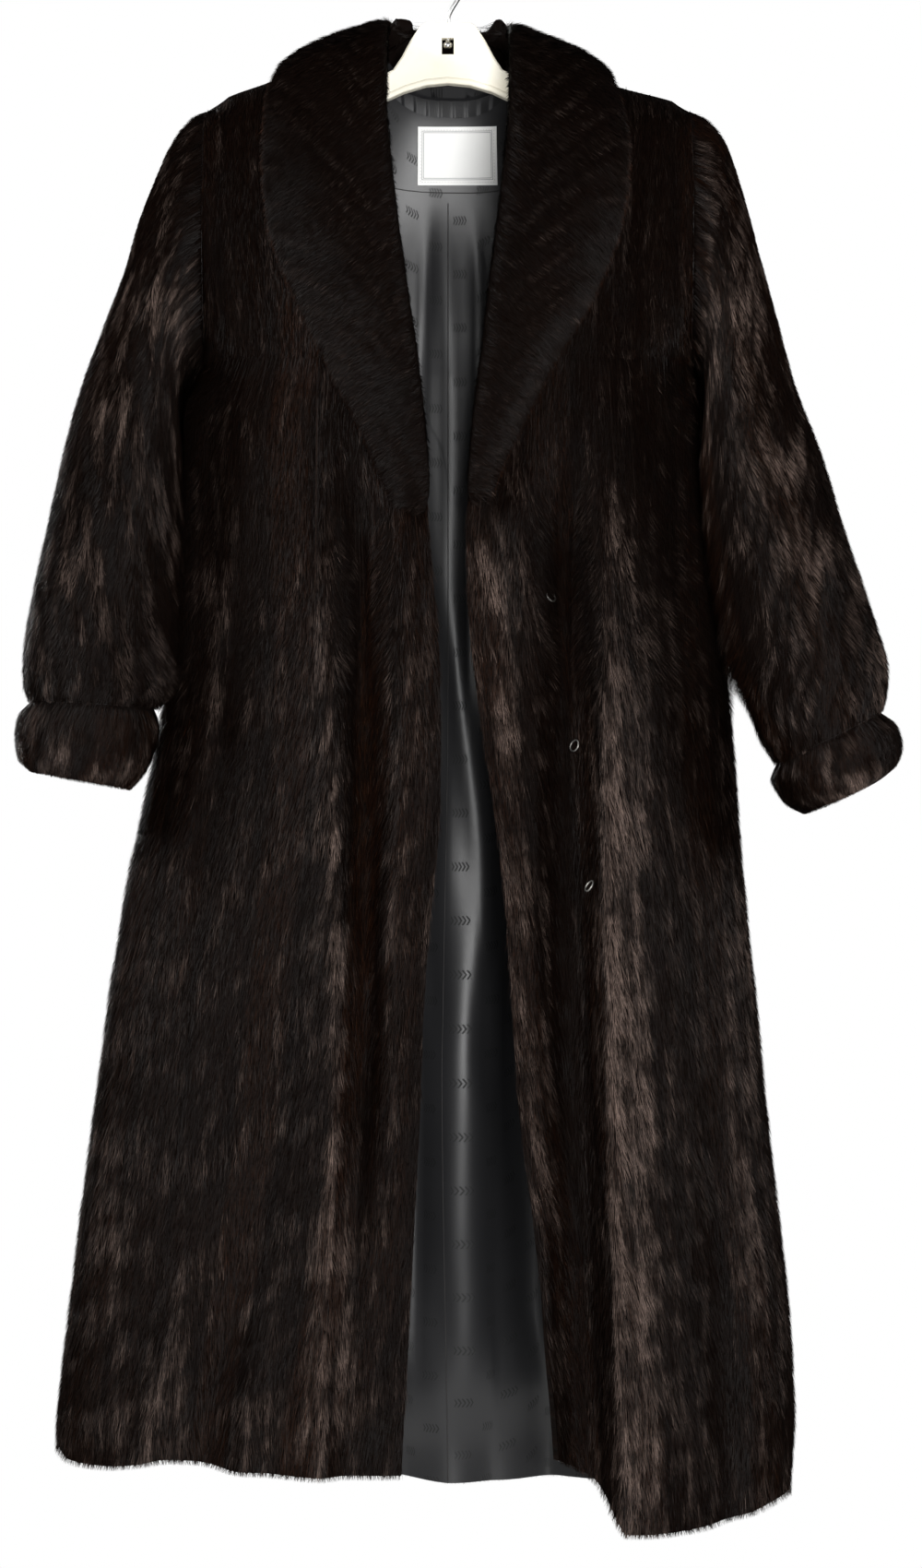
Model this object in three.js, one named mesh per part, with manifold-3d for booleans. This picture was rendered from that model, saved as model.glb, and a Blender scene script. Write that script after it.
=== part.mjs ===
// A full-length fur coat hanging open on a moulded hanger, in millimetres.
// +Z is up, the open front faces -Y, and the origin is the inside top of the hook.
import * as THREE from 'three';
import { mergeVertices } from 'three/addons/utils/BufferGeometryUtils.js';
import Module from 'manifold-3d';

const manifoldLibrary = await Module();
manifoldLibrary.setup();

// Walls and clearances
const FUR = 9;
const SATIN = 1.5;
const SEAM = 0.3;
const HALF_SEAM = SEAM / 2;
const LINING_CLEAR = 0.6;

// Armholes: upright ovals at either side
const ARMHOLE_X = 220;
const SHOULDER_END_Z = -147;
const UNDERARM_Z = -383;
const ARMHOLE_DEPTH = 62;
const ARMHOLE_MID = (SHOULDER_END_Z + UNDERARM_Z) / 2;
const ARMHOLE_HALF = (SHOULDER_END_Z - UNDERARM_Z) / 2;

// Neck
const NECK_X = 62;
const NAPE_DROP = 26;
const NAPE_BACK = 34;

// Fullness of the body: depth of front and back at the underarm and at the hem
const CHEST_FRONT = 80;
const HEM_FRONT = 108;
const CHEST_BACK = 72;
const HEM_BACK = 112;
const ROUNDNESS = 2.5;
const ARMHOLE_REACH = 0.35;
const HEM_Z = -1395;
const FOLD_EASE = 1.6;
const FOLD_FADE = 160;

// How a panel is laid out: its narrow side zone, its middle line and the lean of its edges
const SIDE_ZONE = 0.25;
const SIDE_SHARE = 0.1;
const MIDDLE_X = 0.001;
const NAPE_LEAN = 1.02;
const ARMHOLE_LEAN = 0.05;
const PLACE_ROUNDS = 4;
const NORMAL_STEP = 2;
const ROUNDING = 0.25;
const ROUNDING_MOST = 1;

// Grid counts
const ARMHOLE_ROWS = 7;
const LOWER_ROWS = 13;
const FRONT_COLUMNS = 22;
const BACK_COLUMNS = 28;

// Outer edge of the shoulder seams, from wearer's right to left
const SHOULDER = [
  { x: -220, z: -147 },
  { x: -200, z: -133 },
  { x: -155, z: -116 },
  { x: -62, z: -94 },
  { x: 62, z: -98 },
  { x: 147, z: -121 },
  { x: 205, z: -137 },
  { x: 220, z: -147 },
];

// Widest points of the body below the underarms
const SIDES = [
  { z: -1425, right: -350, left: 310 },
  { z: -1350, right: -357, left: 316 },
  { z: -1307, right: -353, left: 315 },
  { z: -1225, right: -343, left: 310 },
  { z: -1132, right: -332, left: 299 },
  { z: -1042, right: -320, left: 289 },
  { z: -929, right: -305, left: 278 },
  { z: -833, right: -289, left: 268 },
  { z: -746, right: -270, left: 262 },
  { z: -685, right: -259, left: 256 },
  { z: -613, right: -251, left: 248 },
  { z: -528, right: -247, left: 236 },
  { z: -433, right: -240, left: 227 },
  { z: -383, right: -220, left: 220 },
];

// Free edges of the two fronts, which the collar rolls over above z -510
const FRONT_EDGES = [
  { z: -1400, right: -42, left: 103 },
  { z: -1300, right: -37, left: 95 },
  { z: -1205, right: -32, left: 83 },
  { z: -1125, right: -28, left: 73 },
  { z: -1050, right: -24, left: 63 },
  { z: -975, right: -22, left: 58 },
  { z: -890, right: -16, left: 53 },
  { z: -805, right: -7, left: 44 },
  { z: -720, right: -5, left: 32 },
  { z: -640, right: -7, left: 21 },
  { z: -580, right: -12, left: 17 },
  { z: -510, right: -18, left: 18 },
  { z: -440, right: -24, left: 26 },
  { z: -374, right: -32, left: 35 },
  { z: -320, right: -40, left: 41 },
  { z: -260, right: -50, left: 49 },
  { z: -200, right: -57, left: 56 },
  { z: -140, right: -61, left: 61 },
  { z: -94, right: -62, left: 62 },
];

// Heights of the hems along the width
const FRONT_HEM = [
  { x: -362, z: -1358 },
  { x: -345, z: -1369 },
  { x: -301, z: -1370 },
  { x: -257, z: -1361 },
  { x: -232, z: -1361 },
  { x: -203, z: -1366 },
  { x: -150, z: -1370 },
  { x: -40, z: -1371 },
  { x: 100, z: -1359 },
  { x: 134, z: -1381 },
  { x: 152, z: -1417 },
  { x: 200, z: -1420 },
  { x: 240, z: -1418 },
  { x: 284, z: -1408 },
  { x: 316, z: -1399 },
];
const BACK_HEM = [
  { x: -362, z: -1358 },
  { x: -345, z: -1369 },
  { x: -200, z: -1388 },
  { x: 0, z: -1414 },
  { x: 200, z: -1410 },
  { x: 284, z: -1408 },
  { x: 316, z: -1399 },
];

// Folds: centre line, heights where each starts, is full and ends, half-widths on each side,
// and depth, where a ridge is positive
const FOLDS = {
  front_right: [
    { top: -173, mid: -200, low: -236, start: -500, full: -640, end: -980, west: 24, east: 24, depth: -10 },
    { top: -112, mid: -94, low: -112, start: -480, full: -640, end: -1700, west: 62, east: 24, depth: 17 },
    { top: -76, mid: -72, low: -76, start: -470, full: -560, end: -1180, west: 26, east: 30, depth: -15 },
    { top: -40, mid: -34, low: -60, start: -470, full: -600, end: -980, west: 26, east: 40, depth: 10 },
    { top: -200, mid: -240, low: -278, start: -1080, full: -1290, end: -1700, west: 34, east: 30, depth: 14 },
    { top: -170, mid: -196, low: -222, start: -1120, full: -1300, end: -1700, west: 22, east: 24, depth: -12 },
    { top: -130, mid: -160, low: -188, start: -1080, full: -1300, end: -1700, west: 22, east: 34, depth: 11 },
  ],
  front_left: [
    { top: 62, mid: 66, low: 78, start: -440, full: -540, end: -700, west: 26, east: 22, depth: 9 },
    { top: 104, mid: 103, low: 118, start: -420, full: -560, end: -1700, west: 30, east: 30, depth: -17 },
    { top: 143, mid: 142, low: 156, start: -330, full: -700, end: -1700, west: 30, east: 125, depth: 34 },
    { top: 236, mid: 242, low: 250, start: -960, full: -1200, end: -1700, west: 26, east: 24, depth: -12 },
    { top: 262, mid: 272, low: 280, start: -960, full: -1200, end: -1700, west: 28, east: 30, depth: 10 },
  ],
  back: [
    { top: -205, mid: -232, low: -268, start: -620, full: -980, end: -1700, west: 52, east: 46, depth: 18 },
    { top: -130, mid: -150, low: -182, start: -700, full: -1080, end: -1700, west: 40, east: 44, depth: -14 },
    { top: -62, mid: -76, low: -92, start: -560, full: -960, end: -1700, west: 50, east: 52, depth: 20 },
    { top: 8, mid: 10, low: 2, start: -640, full: -1060, end: -1700, west: 44, east: 42, depth: -16 },
    { top: 74, mid: 84, low: 96, start: -580, full: -980, end: -1700, west: 52, east: 48, depth: 22 },
    { top: 140, mid: 156, low: 176, start: -720, full: -1100, end: -1700, west: 42, east: 44, depth: -15 },
    { top: 196, mid: 216, low: 244, start: -620, full: -1000, end: -1700, west: 50, east: 48, depth: 16 },
  ],
};

// Sleeves: each row is one section, from the shoulder side to the underarm side
const SLEEVE_RIGHT = [
  { outX: -220.3, outZ: -147, inX: -220.3, inZ: -383, depth: 62 },
  { outX: -235, outZ: -159, inX: -225, inZ: -387, depth: 64 },
  { outX: -249, outZ: -181, inX: -231, inZ: -396, depth: 66 },
  { outX: -263, outZ: -217, inX: -238, inZ: -411, depth: 68 },
  { outX: -277, outZ: -257, inX: -240, inZ: -432, depth: 70 },
  { outX: -289, outZ: -300, inX: -241, inZ: -459, depth: 72 },
  { outX: -308, outZ: -350, inX: -243, inZ: -495, depth: 73 },
  { outX: -329, outZ: -406, inX: -244, inZ: -534, depth: 75 },
  { outX: -348, outZ: -478, inX: -245, inZ: -576, depth: 77 },
  { outX: -361, outZ: -538, inX: -246, inZ: -616, depth: 78 },
  { outX: -374, outZ: -600, inX: -248, inZ: -650, depth: 78 },
  { outX: -381, outZ: -646, inX: -251, inZ: -673, depth: 75 },
  { outX: -381, outZ: -672, inX: -255, inZ: -686, depth: 70 },
  { outX: -376, outZ: -686, inX: -262, inZ: -693, depth: 64 },
];
const SLEEVE_LEFT = [
  { outX: 220.3, outZ: -147, inX: 220.3, inZ: -383, depth: 62 },
  { outX: 237, outZ: -159, inX: 225, inZ: -387, depth: 64 },
  { outX: 250, outZ: -178, inX: 227, inZ: -397, depth: 66 },
  { outX: 259, outZ: -208, inX: 229, inZ: -413, depth: 68 },
  { outX: 269, outZ: -245, inX: 229, inZ: -434, depth: 70 },
  { outX: 280, outZ: -288, inX: 229, inZ: -461, depth: 72 },
  { outX: 294, outZ: -338, inX: 231, inZ: -497, depth: 73 },
  { outX: 311, outZ: -402, inX: 235, inZ: -538, depth: 75 },
  { outX: 336, outZ: -466, inX: 241, inZ: -578, depth: 77 },
  { outX: 354, outZ: -526, inX: 248, inZ: -618, depth: 78 },
  { outX: 376, outZ: -592, inX: 257, inZ: -656, depth: 78 },
  { outX: 394, outZ: -648, inX: 270, inZ: -692, depth: 75 },
  { outX: 395, outZ: -678, inX: 281, inZ: -722, depth: 70 },
  { outX: 390, outZ: -695, inX: 294, inZ: -742, depth: 64 },
];

// Turned cuffs
const CUFF_RIGHT = [
  { outX: -376, outZ: -686.35, inX: -262, inZ: -693.35, depth: 64 },
  { outX: -385, outZ: -698, inX: -259, inZ: -708, depth: 69 },
  { outX: -388, outZ: -722, inX: -264, inZ: -734, depth: 71 },
  { outX: -384, outZ: -741, inX: -275, inZ: -755, depth: 69 },
  { outX: -375, outZ: -749, inX: -285, inZ: -765, depth: 62 },
];
const CUFF_LEFT = [
  { outX: 390.15, outZ: -695.35, inX: 294.15, inZ: -742.35, depth: 64 },
  { outX: 404, outZ: -710, inX: 291, inZ: -758, depth: 69 },
  { outX: 408, outZ: -728, inX: 297, inZ: -770, depth: 71 },
  { outX: 403, outZ: -744, inX: 307, inZ: -782, depth: 69 },
  { outX: 391, outZ: -754, inX: 320, inZ: -787, depth: 62 },
];
const SLEEVE_COLUMNS = 24;
const CUFF_THICK = 13;
const GATHERS = 12;
const GATHER_DEPTH = 1.8;
const GATHER_START = 0.86;

// How far the sleeves hang forward, and by what share of their length they get there
const SLEEVE_FORWARD = 45;
const FORWARD_BY = 0.35;

// Creases across the sleeves: place along (0 to 1), place round (0 to 1), size and depth
const SLEEVE_CREASES = [
  { along: 0.3, round: 0.75, length: 0.09, width: 0.1, depth: -7 },
  { along: 0.42, round: 0.62, length: 0.08, width: 0.14, depth: 5 },
  { along: 0.55, round: 0.8, length: 0.08, width: 0.12, depth: -6 },
  { along: 0.7, round: 0.68, length: 0.1, width: 0.12, depth: -6 },
  { along: 0.84, round: 0.84, length: 0.08, width: 0.1, depth: 6 },
  { along: 0.4, round: 0.3, length: 0.1, width: 0.14, depth: -6 },
  { along: 0.66, round: 0.22, length: 0.09, width: 0.12, depth: -6 },
  { along: 0.86, round: 0.32, length: 0.08, width: 0.12, depth: 5 },
];

// Shawl collar: outer edge and rolled edge, from the wearer's right point round the nape to the left
const COLLAR = [
  { face: 'front', edgeX: -21, edgeZ: -522, outX: -48, outZ: -512, rise: 9, over: 2 },
  { face: 'front', edgeX: -18, edgeZ: -500, outX: -58, outZ: -488, rise: 15, over: 4 },
  { face: 'front', edgeX: -21, edgeZ: -462, outX: -77, outZ: -446, rise: 18, over: 6 },
  { face: 'front', edgeX: -26, edgeZ: -420, outX: -98, outZ: -404, rise: 20, over: 7 },
  { face: 'front', edgeX: -33, edgeZ: -370, outX: -120, outZ: -358, rise: 21, over: 8 },
  { face: 'front', edgeX: -41, edgeZ: -318, outX: -139, outZ: -314, rise: 22, over: 8 },
  { face: 'front', edgeX: -49, edgeZ: -262, outX: -155, outZ: -272, rise: 23, over: 8 },
  { face: 'front', edgeX: -56, edgeZ: -210, outX: -162, outZ: -230, rise: 25, over: 9 },
  { face: 'front', edgeX: -60, edgeZ: -165, outX: -163, outZ: -190, rise: 27, over: 9 },
  { face: 'front', edgeX: -61, edgeZ: -132, outX: -161, outZ: -158, rise: 28, over: 10 },
  { face: 'front', edgeX: -62, edgeZ: -110, outX: -157, outZ: -135, rise: 27, over: 11 },
  { face: 'front', edgeX: -62, edgeZ: -100, outX: -153, outZ: -125, rise: 26, over: 12 },
  { face: 'seam', edgeX: -62, edgeZ: -94, outX: -150, outZ: -118, rise: 26, over: 12 },
  { face: 'back', edgeX: -61, edgeZ: -97, outX: -149, outZ: -127, rise: 28, over: 12 },
  { face: 'back', edgeX: -60, edgeZ: -99, outX: -148, outZ: -141, rise: 31, over: 11 },
  { face: 'back', edgeX: -58, edgeZ: -100, outX: -145, outZ: -160, rise: 34, over: 10 },
  { face: 'back', edgeX: -48, edgeZ: -106, outX: -125, outZ: -185, rise: 38, over: 9 },
  { face: 'back', edgeX: -32, edgeZ: -114, outX: -84, outZ: -204, rise: 42, over: 8 },
  { face: 'back', edgeX: -12, edgeZ: -120, outX: -32, outZ: -213, rise: 47, over: 8 },
  { face: 'back', edgeX: 12, edgeZ: -121, outX: 32, outZ: -214, rise: 47, over: 8 },
  { face: 'back', edgeX: 32, edgeZ: -116, outX: 84, outZ: -206, rise: 42, over: 8 },
  { face: 'back', edgeX: 48, edgeZ: -109, outX: 124, outZ: -188, rise: 38, over: 9 },
  { face: 'back', edgeX: 58, edgeZ: -103, outX: 142, outZ: -164, rise: 34, over: 10 },
  { face: 'back', edgeX: 60, edgeZ: -103, outX: 144, outZ: -147, rise: 31, over: 11 },
  { face: 'back', edgeX: 61, edgeZ: -101, outX: 145, outZ: -133, rise: 28, over: 12 },
  { face: 'seam', edgeX: 62, edgeZ: -98, outX: 145, outZ: -124, rise: 26, over: 12 },
  { face: 'front', edgeX: 62, edgeZ: -104, outX: 147, outZ: -130, rise: 26, over: 12 },
  { face: 'front', edgeX: 62, edgeZ: -114, outX: 151, outZ: -141, rise: 27, over: 11 },
  { face: 'front', edgeX: 61, edgeZ: -136, outX: 157, outZ: -164, rise: 28, over: 10 },
  { face: 'front', edgeX: 60, edgeZ: -168, outX: 160, outZ: -194, rise: 27, over: 9 },
  { face: 'front', edgeX: 56, edgeZ: -212, outX: 157, outZ: -234, rise: 25, over: 9 },
  { face: 'front', edgeX: 49, edgeZ: -264, outX: 148, outZ: -276, rise: 23, over: 8 },
  { face: 'front', edgeX: 42, edgeZ: -318, outX: 130, outZ: -322, rise: 22, over: 8 },
  { face: 'front', edgeX: 36, edgeZ: -370, outX: 106, outZ: -366, rise: 21, over: 8 },
  { face: 'front', edgeX: 28, edgeZ: -420, outX: 83, outZ: -408, rise: 20, over: 7 },
  { face: 'front', edgeX: 23, edgeZ: -462, outX: 64, outZ: -448, rise: 18, over: 6 },
  { face: 'front', edgeX: 19, edgeZ: -496, outX: 50, outZ: -480, rise: 14, over: 4 },
  { face: 'front', edgeX: 20, edgeZ: -512, outX: 43, outZ: -500, rise: 8, over: 2 },
];
const COLLAR_STEPS = 5;
const COLLAR_CLEAR = 3;
const COLLAR_EDGE = 12;
const COLLAR_FLAT = 24;
const COLLAR_STAND = 46;
const COLLAR_DOME = 6;
const COLLAR_LIP = 4;
const COLLAR_END_LIFT = 0.75;
const ROLL_HEIGHT = 0.55;
const ROLL_SHARE = 0.5;

// Label and pleated band inside the nape
const LABEL_LEFT = -29;
const LABEL_RIGHT = 48;
const LABEL_TOP = -152;
const LABEL_BOTTOM = -206;
const LABEL_THICK = 0.8;
const LABEL_COLUMNS = 6;
const LABEL_ROWS = 4;
const LABEL_LIFT = 1.2;
const BAND_LIFT = 1.3;
const BAND_HALF = 56;
const BAND_TOP = 5;
const BAND_BOTTOM = 22;
const BAND_THICK = 1.2;
const BAND_PLEATS = 9;
const BAND_ROWS = 2;
const PLEAT_DEPTH = 1.4;

// Hanger: upper and lower edges of one half, and its thicknesses
const HANGER_Z = -68;
const HANGER_THICK = 10;
const HANGER_BEVEL = 2;
const BEVEL_STEPS = 2;
const HANGER_TOP = [
  { x: 0, z: -68 },
  { x: 20, z: -68 },
  { x: 25, z: -71 },
  { x: 34, z: -84 },
  { x: 42, z: -99 },
  { x: 50, z: -111 },
  { x: 64, z: -117.7 },
  { x: 110, z: -127 },
  { x: 160, z: -145 },
  { x: 192, z: -159 },
  { x: 200, z: -168 },
];
const HANGER_LOW = [
  { x: 0, z: -124 },
  { x: 20, z: -126 },
  { x: 40, z: -132 },
  { x: 62, z: -142 },
  { x: 105, z: -158 },
  { x: 150, z: -173 },
  { x: 190, z: -186 },
  { x: 199, z: -184 },
];
const FLANGE_TALL = 6;
const FLANGE_THICK = 14;
const WINDOW_WIDE = 11;
const WINDOW_TALL = 15;
const WINDOW_Z = -90;
const BORE_RADIUS = 2.6;
const BORE_OVER = 20;
const BORE_SIDES = 16;
const WELD = 1e-4;

// Hook
const HOOK_WIRE = 2;
const HOOK_RADIUS = 21;
const HOOK_CENTRE_Z = HOOK_WIRE - HOOK_RADIUS;
const HOOK_START = -0.9;
const HOOK_END = 3.6;
const SHANK_BOTTOM = -91;
const SHANK_SHARE = 0.42;
const LEAN_START = 0.45;
const WIRE_SIDES = 10;
const WIRE_STEPS = 30;
const KNOB_RADIUS = 3.4;
const KNOB_SIDES = 12;
const KNOB_ROWS = 8;
const STOP_RADIUS = 4;
const STOP_TALL = 3;
const STOP_SIDES = 16;

// Closure eyes on the wearer's left front
const EYES = [
  { x: 89, z: -594, tilt: 0.5, lift: 4 },
  { x: 116, z: -727, tilt: 0.3, lift: 3.9 },
  { x: 128, z: -851, tilt: 0.6, lift: 3.2 },
];
const EYE_RADIUS = 5.2;
const EYE_WIRE = 0.8;
const EYE_WIRE_SIDES = 6;
const EYE_STEPS = 16;

function clamp(value, low, high) {
  return Math.min(high, Math.max(low, value));
}

function mix(a, b, t) {
  return a + (b - a) * t;
}

function smooth(t) {
  const s = clamp(t, 0, 1);
  return s * s * (3 - 2 * s);
}

// Value of one column of a table, read along another column that rises or falls steadily
function lookUp(table, key, at, column) {
  const rising = table[table.length - 1][key] > table[0][key];
  const rows = rising ? table : [...table].reverse();
  if (at <= rows[0][key]) {
    return rows[0][column];
  }
  for (let i = 1; i < rows.length; i += 1) {
    if (at <= rows[i][key]) {
      const t = (at - rows[i - 1][key]) / (rows[i][key] - rows[i - 1][key]);
      const before = rows[Math.max(i - 2, 0)][column];
      const after = rows[Math.min(i + 1, rows.length - 1)][column];
      const a = rows[i - 1][column];
      const b = rows[i][column];
      const eased = mix(a, b, t);
      const curve = t * (1 - t) * ((b - after) * t + (a - before) * (1 - t)) * ROUNDING;
      return eased + clamp(curve, -ROUNDING_MOST, ROUNDING_MOST);
    }
  }
  return rows[rows.length - 1][column];
}

function shoulderZ(x) {
  return lookUp(SHOULDER, 'x', x, 'z');
}

function sideX(z, sign) {
  if (z >= UNDERARM_Z) {
    return sign * ARMHOLE_X;
  }
  return lookUp(SIDES, 'z', z, sign < 0 ? 'right' : 'left');
}

function armholeDepth(z) {
  const t = (z - ARMHOLE_MID) / ARMHOLE_HALF;
  return ARMHOLE_DEPTH * Math.sqrt(Math.max(0, 1 - t * t));
}

// Sum of the folds of one panel at a point
function foldDepth(panel, x, z) {
  let sum = 0;
  for (const fold of FOLDS[panel]) {
    const run = clamp((fold.start - z) / (fold.start - Math.max(fold.end, HEM_Z)), 0, 1);
    const upper = mix(fold.top, fold.mid, run * 2);
    const lower = mix(fold.mid, fold.low, run * 2 - 1);
    const centre = run < 0.5 ? upper : lower;
    const half = x < centre ? fold.west : fold.east;
    const across = clamp(Math.abs(x - centre) / half, 0, 1);
    const grown = smooth((fold.start - z) / (fold.start - fold.full));
    const left = 1 - smooth((fold.end + FOLD_FADE - z) / FOLD_FADE);
    sum += fold.depth * grown * left * Math.cos((across * Math.PI) / 2) ** 2;
  }
  return sum;
}

// How far the nape lies behind the shoulder seams
function napeOffset(x) {
  return Math.max(0, 1 - Math.abs(x / NECK_X) ** 3);
}

// Top edge of a panel
function topZ(face, x) {
  return shoulderZ(x) - (face === 'back' ? NAPE_DROP * napeOffset(x) : 0);
}

// Height of the point of a column: level 0 is the top edge, 1 the underarm and 2 the hem
function levelZ(face, x, level) {
  if (level <= 1) {
    const nape = face === 'back' ? NAPE_DROP * napeOffset(x) * (1 - level) ** 3 : 0;
    return mix(shoulderZ(x), UNDERARM_Z, level) - nape;
  }
  const hem = lookUp(face === 'back' ? BACK_HEM : FRONT_HEM, 'x', x, 'z');
  return mix(UNDERARM_Z, hem, level - 1);
}

// Outer face of the body: y for a place on the front or the back
function bodyY(face, x, z) {
  const back = face === 'back';
  const sign = x < 0 ? -1 : 1;
  const side = sideX(z, sign);
  const inward = clamp((side - x) / side, 0, 1);
  const across = (1 - (1 - inward) ** ROUNDNESS) ** (1 / ROUNDNESS);
  const top = topZ(face, x);
  const drop = clamp((top - z) / (top - UNDERARM_Z), 0, 1);
  const round = Math.sqrt(1 - (1 - drop) ** 2);
  const down = clamp((UNDERARM_Z - z) / (UNDERARM_Z - HEM_Z), 0, 1);
  const full = back ? mix(CHEST_BACK, HEM_BACK, down) : mix(CHEST_FRONT, HEM_FRONT, down);
  const start = back ? NAPE_BACK * napeOffset(x) : 0;
  const edge = armholeDepth(z);
  const panel = back ? 'back' : sign < 0 ? 'front_right' : 'front_left';
  const fold = foldDepth(panel, x, z) * smooth(across * FOLD_EASE - (FOLD_EASE - 1));
  const nearArmhole = (1 - across) * smooth(1 - inward / ARMHOLE_REACH);
  const depth = mix(start, full, round) * across + edge * nearArmhole + fold;
  return back ? depth + HALF_SEAM : -depth - HALF_SEAM;
}

function bodyPoint(face, x, z) {
  return new THREE.Vector3(x, bodyY(face, x, z), z);
}

function bodyNormal(face, x, z) {
  const inX = x - Math.sign(x) * NORMAL_STEP;
  const slopeX = (bodyY(face, x, z) - bodyY(face, inX, z)) / (x - inX);
  const slopeZ = (bodyY(face, x, z) - bodyY(face, x, z - NORMAL_STEP)) / NORMAL_STEP;
  const out = face === 'back' ? 1 : -1;
  return new THREE.Vector3(-slopeX * out, out, -slopeZ * out).normalize();
}

// Closed wall from a grid of outer points and a grid of inner points; a ring wraps its columns
function wall(outer, inner, ring = false) {
  const rows = outer.length;
  const columns = outer[0].length;
  const positions = [];
  const index = [];
  for (const grid of [outer, inner]) {
    for (const row of grid) {
      for (const point of row) {
        positions.push(point.x, point.y, point.z);
      }
    }
  }
  const at = (layer, r, c) => layer * rows * columns + r * columns + (c % columns);
  const quad = (a, b, c, d) => index.push(a, b, c, a, c, d);
  const last = ring ? columns : columns - 1;
  for (let r = 0; r < rows - 1; r += 1) {
    for (let c = 0; c < last; c += 1) {
      quad(at(0, r, c), at(0, r + 1, c), at(0, r + 1, c + 1), at(0, r, c + 1));
      quad(at(1, r, c), at(1, r, c + 1), at(1, r + 1, c + 1), at(1, r + 1, c));
    }
  }
  for (let c = 0; c < last; c += 1) {
    quad(at(0, 0, c), at(0, 0, c + 1), at(1, 0, c + 1), at(1, 0, c));
    quad(at(0, rows - 1, c), at(1, rows - 1, c), at(1, rows - 1, c + 1), at(0, rows - 1, c + 1));
  }
  if (!ring) {
    for (let r = 0; r < rows - 1; r += 1) {
      quad(at(0, r, 0), at(1, r, 0), at(1, r + 1, 0), at(0, r + 1, 0));
      quad(at(0, r, last), at(0, r + 1, last), at(1, r + 1, last), at(1, r, last));
    }
  }
  const geometry = new THREE.BufferGeometry();
  geometry.setAttribute('position', new THREE.Float32BufferAttribute(positions, 3));
  geometry.setIndex(index);
  return faceOutward(geometry);
}

function signedVolume(geometry) {
  const p = geometry.getAttribute('position');
  const index = geometry.getIndex();
  const a = new THREE.Vector3();
  const b = new THREE.Vector3();
  const c = new THREE.Vector3();
  let sum = 0;
  for (let i = 0; i < index.count; i += 3) {
    a.fromBufferAttribute(p, index.getX(i));
    b.fromBufferAttribute(p, index.getX(i + 1));
    c.fromBufferAttribute(p, index.getX(i + 2));
    sum += a.dot(b.cross(c)) / 6;
  }
  return sum;
}

function faceOutward(geometry) {
  if (signedVolume(geometry) < 0) {
    const index = geometry.getIndex();
    for (let i = 0; i < index.count; i += 3) {
      const swap = index.getX(i);
      index.setX(i, index.getX(i + 1));
      index.setX(i + 1, swap);
    }
  }
  geometry.computeVertexNormals();
  return geometry;
}

function material(color, roughness, metalness = 0) {
  return new THREE.MeshStandardMaterial({ color, roughness, metalness });
}

const coat = new THREE.Group();

function add(name, geometry, color, roughness, metalness = 0) {
  const mesh = new THREE.Mesh(geometry, material(color, roughness, metalness));
  mesh.name = name;
  coat.add(mesh);
  return mesh;
}

const FUR_BROWN = 0x1e120e;
const FUR_ROUGH = 0.75;
const SATIN_BLACK = 0x141416;
const SATIN_ROUGH = 0.35;
const LABEL_WHITE = 0xf4f4f1;
const PLASTIC_CREAM = 0xf6efd2;
const TRIM_ROUGH = 0.4;
const STEEL_GREY = 0xb8bcc0;
const STEEL_ROUGH = 0.25;
const EYE_GREY = 0x9a9a98;

// Share of the way from the side to the middle for each column, closer together round the side
function columnShare(u) {
  if (u < SIDE_ZONE) {
    return SIDE_SHARE * (u / SIDE_ZONE) ** 2;
  }
  return mix(SIDE_SHARE, 1, (u - SIDE_ZONE) / (1 - SIDE_ZONE));
}

function panelLevels() {
  const levels = [];
  for (let r = 0; r <= ARMHOLE_ROWS; r += 1) {
    levels.push((1 - Math.cos((Math.PI * r) / ARMHOLE_ROWS)) / 2);
  }
  for (let r = 1; r <= LOWER_ROWS; r += 1) {
    levels.push(1 + r / LOWER_ROWS);
  }
  return levels;
}

// Point and inward direction of the body at a level and a share between side and far edge
function panelPlace(face, sign, level, share, farX) {
  let x = sign * ARMHOLE_X;
  let z = levelZ(face, x, level);
  for (let i = 0; i < PLACE_ROUNDS; i += 1) {
    const side = sideX(z, sign);
    x = mix(side, farX(z), share);
    z = levelZ(face, x, level);
  }
  const place = bodyPoint(face, x, z);
  const normal = bodyNormal(face, x, z);
  const atSeam = share === 0 && level > 1;
  if (level <= 1) {
    normal.x = sign * Math.abs(normal.x);
  }
  const seamY = face === 'back' ? HALF_SEAM : -HALF_SEAM;
  if (level === 0) {
    const nape = face === 'back' ? napeOffset(x) : 0;
    place.y = seamY + NAPE_BACK * nape;
    normal.set(0, nape, NAPE_LEAN - nape);
  }
  if (atSeam) {
    place.y = seamY;
    normal.set(sign, 0, 0);
  }
  if (share === 0 && level <= 1) {
    normal.x = ARMHOLE_LEAN * sign;
    if (level === 1) {
      normal.set(sign, 0, 0);
      place.y = seamY;
    }
    if (level === 0) {
      normal.set(0, 0, 1);
    }
  }
  normal.normalize();
  return { place, normal };
}

function offsetGrid(grid, distance) {
  return grid.map((row) => row.map(({ place, normal }) => place.clone().addScaledVector(normal, -distance)));
}

function frontGrid(sign) {
  const column = sign < 0 ? 'right' : 'left';
  const farX = (z) => lookUp(FRONT_EDGES, 'z', z, column);
  return panelLevels().map((level) => {
    const row = [];
    for (let c = 0; c <= FRONT_COLUMNS; c += 1) {
      row.push(panelPlace('front', sign, level, columnShare(c / FRONT_COLUMNS), farX));
    }
    return row;
  });
}

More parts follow.
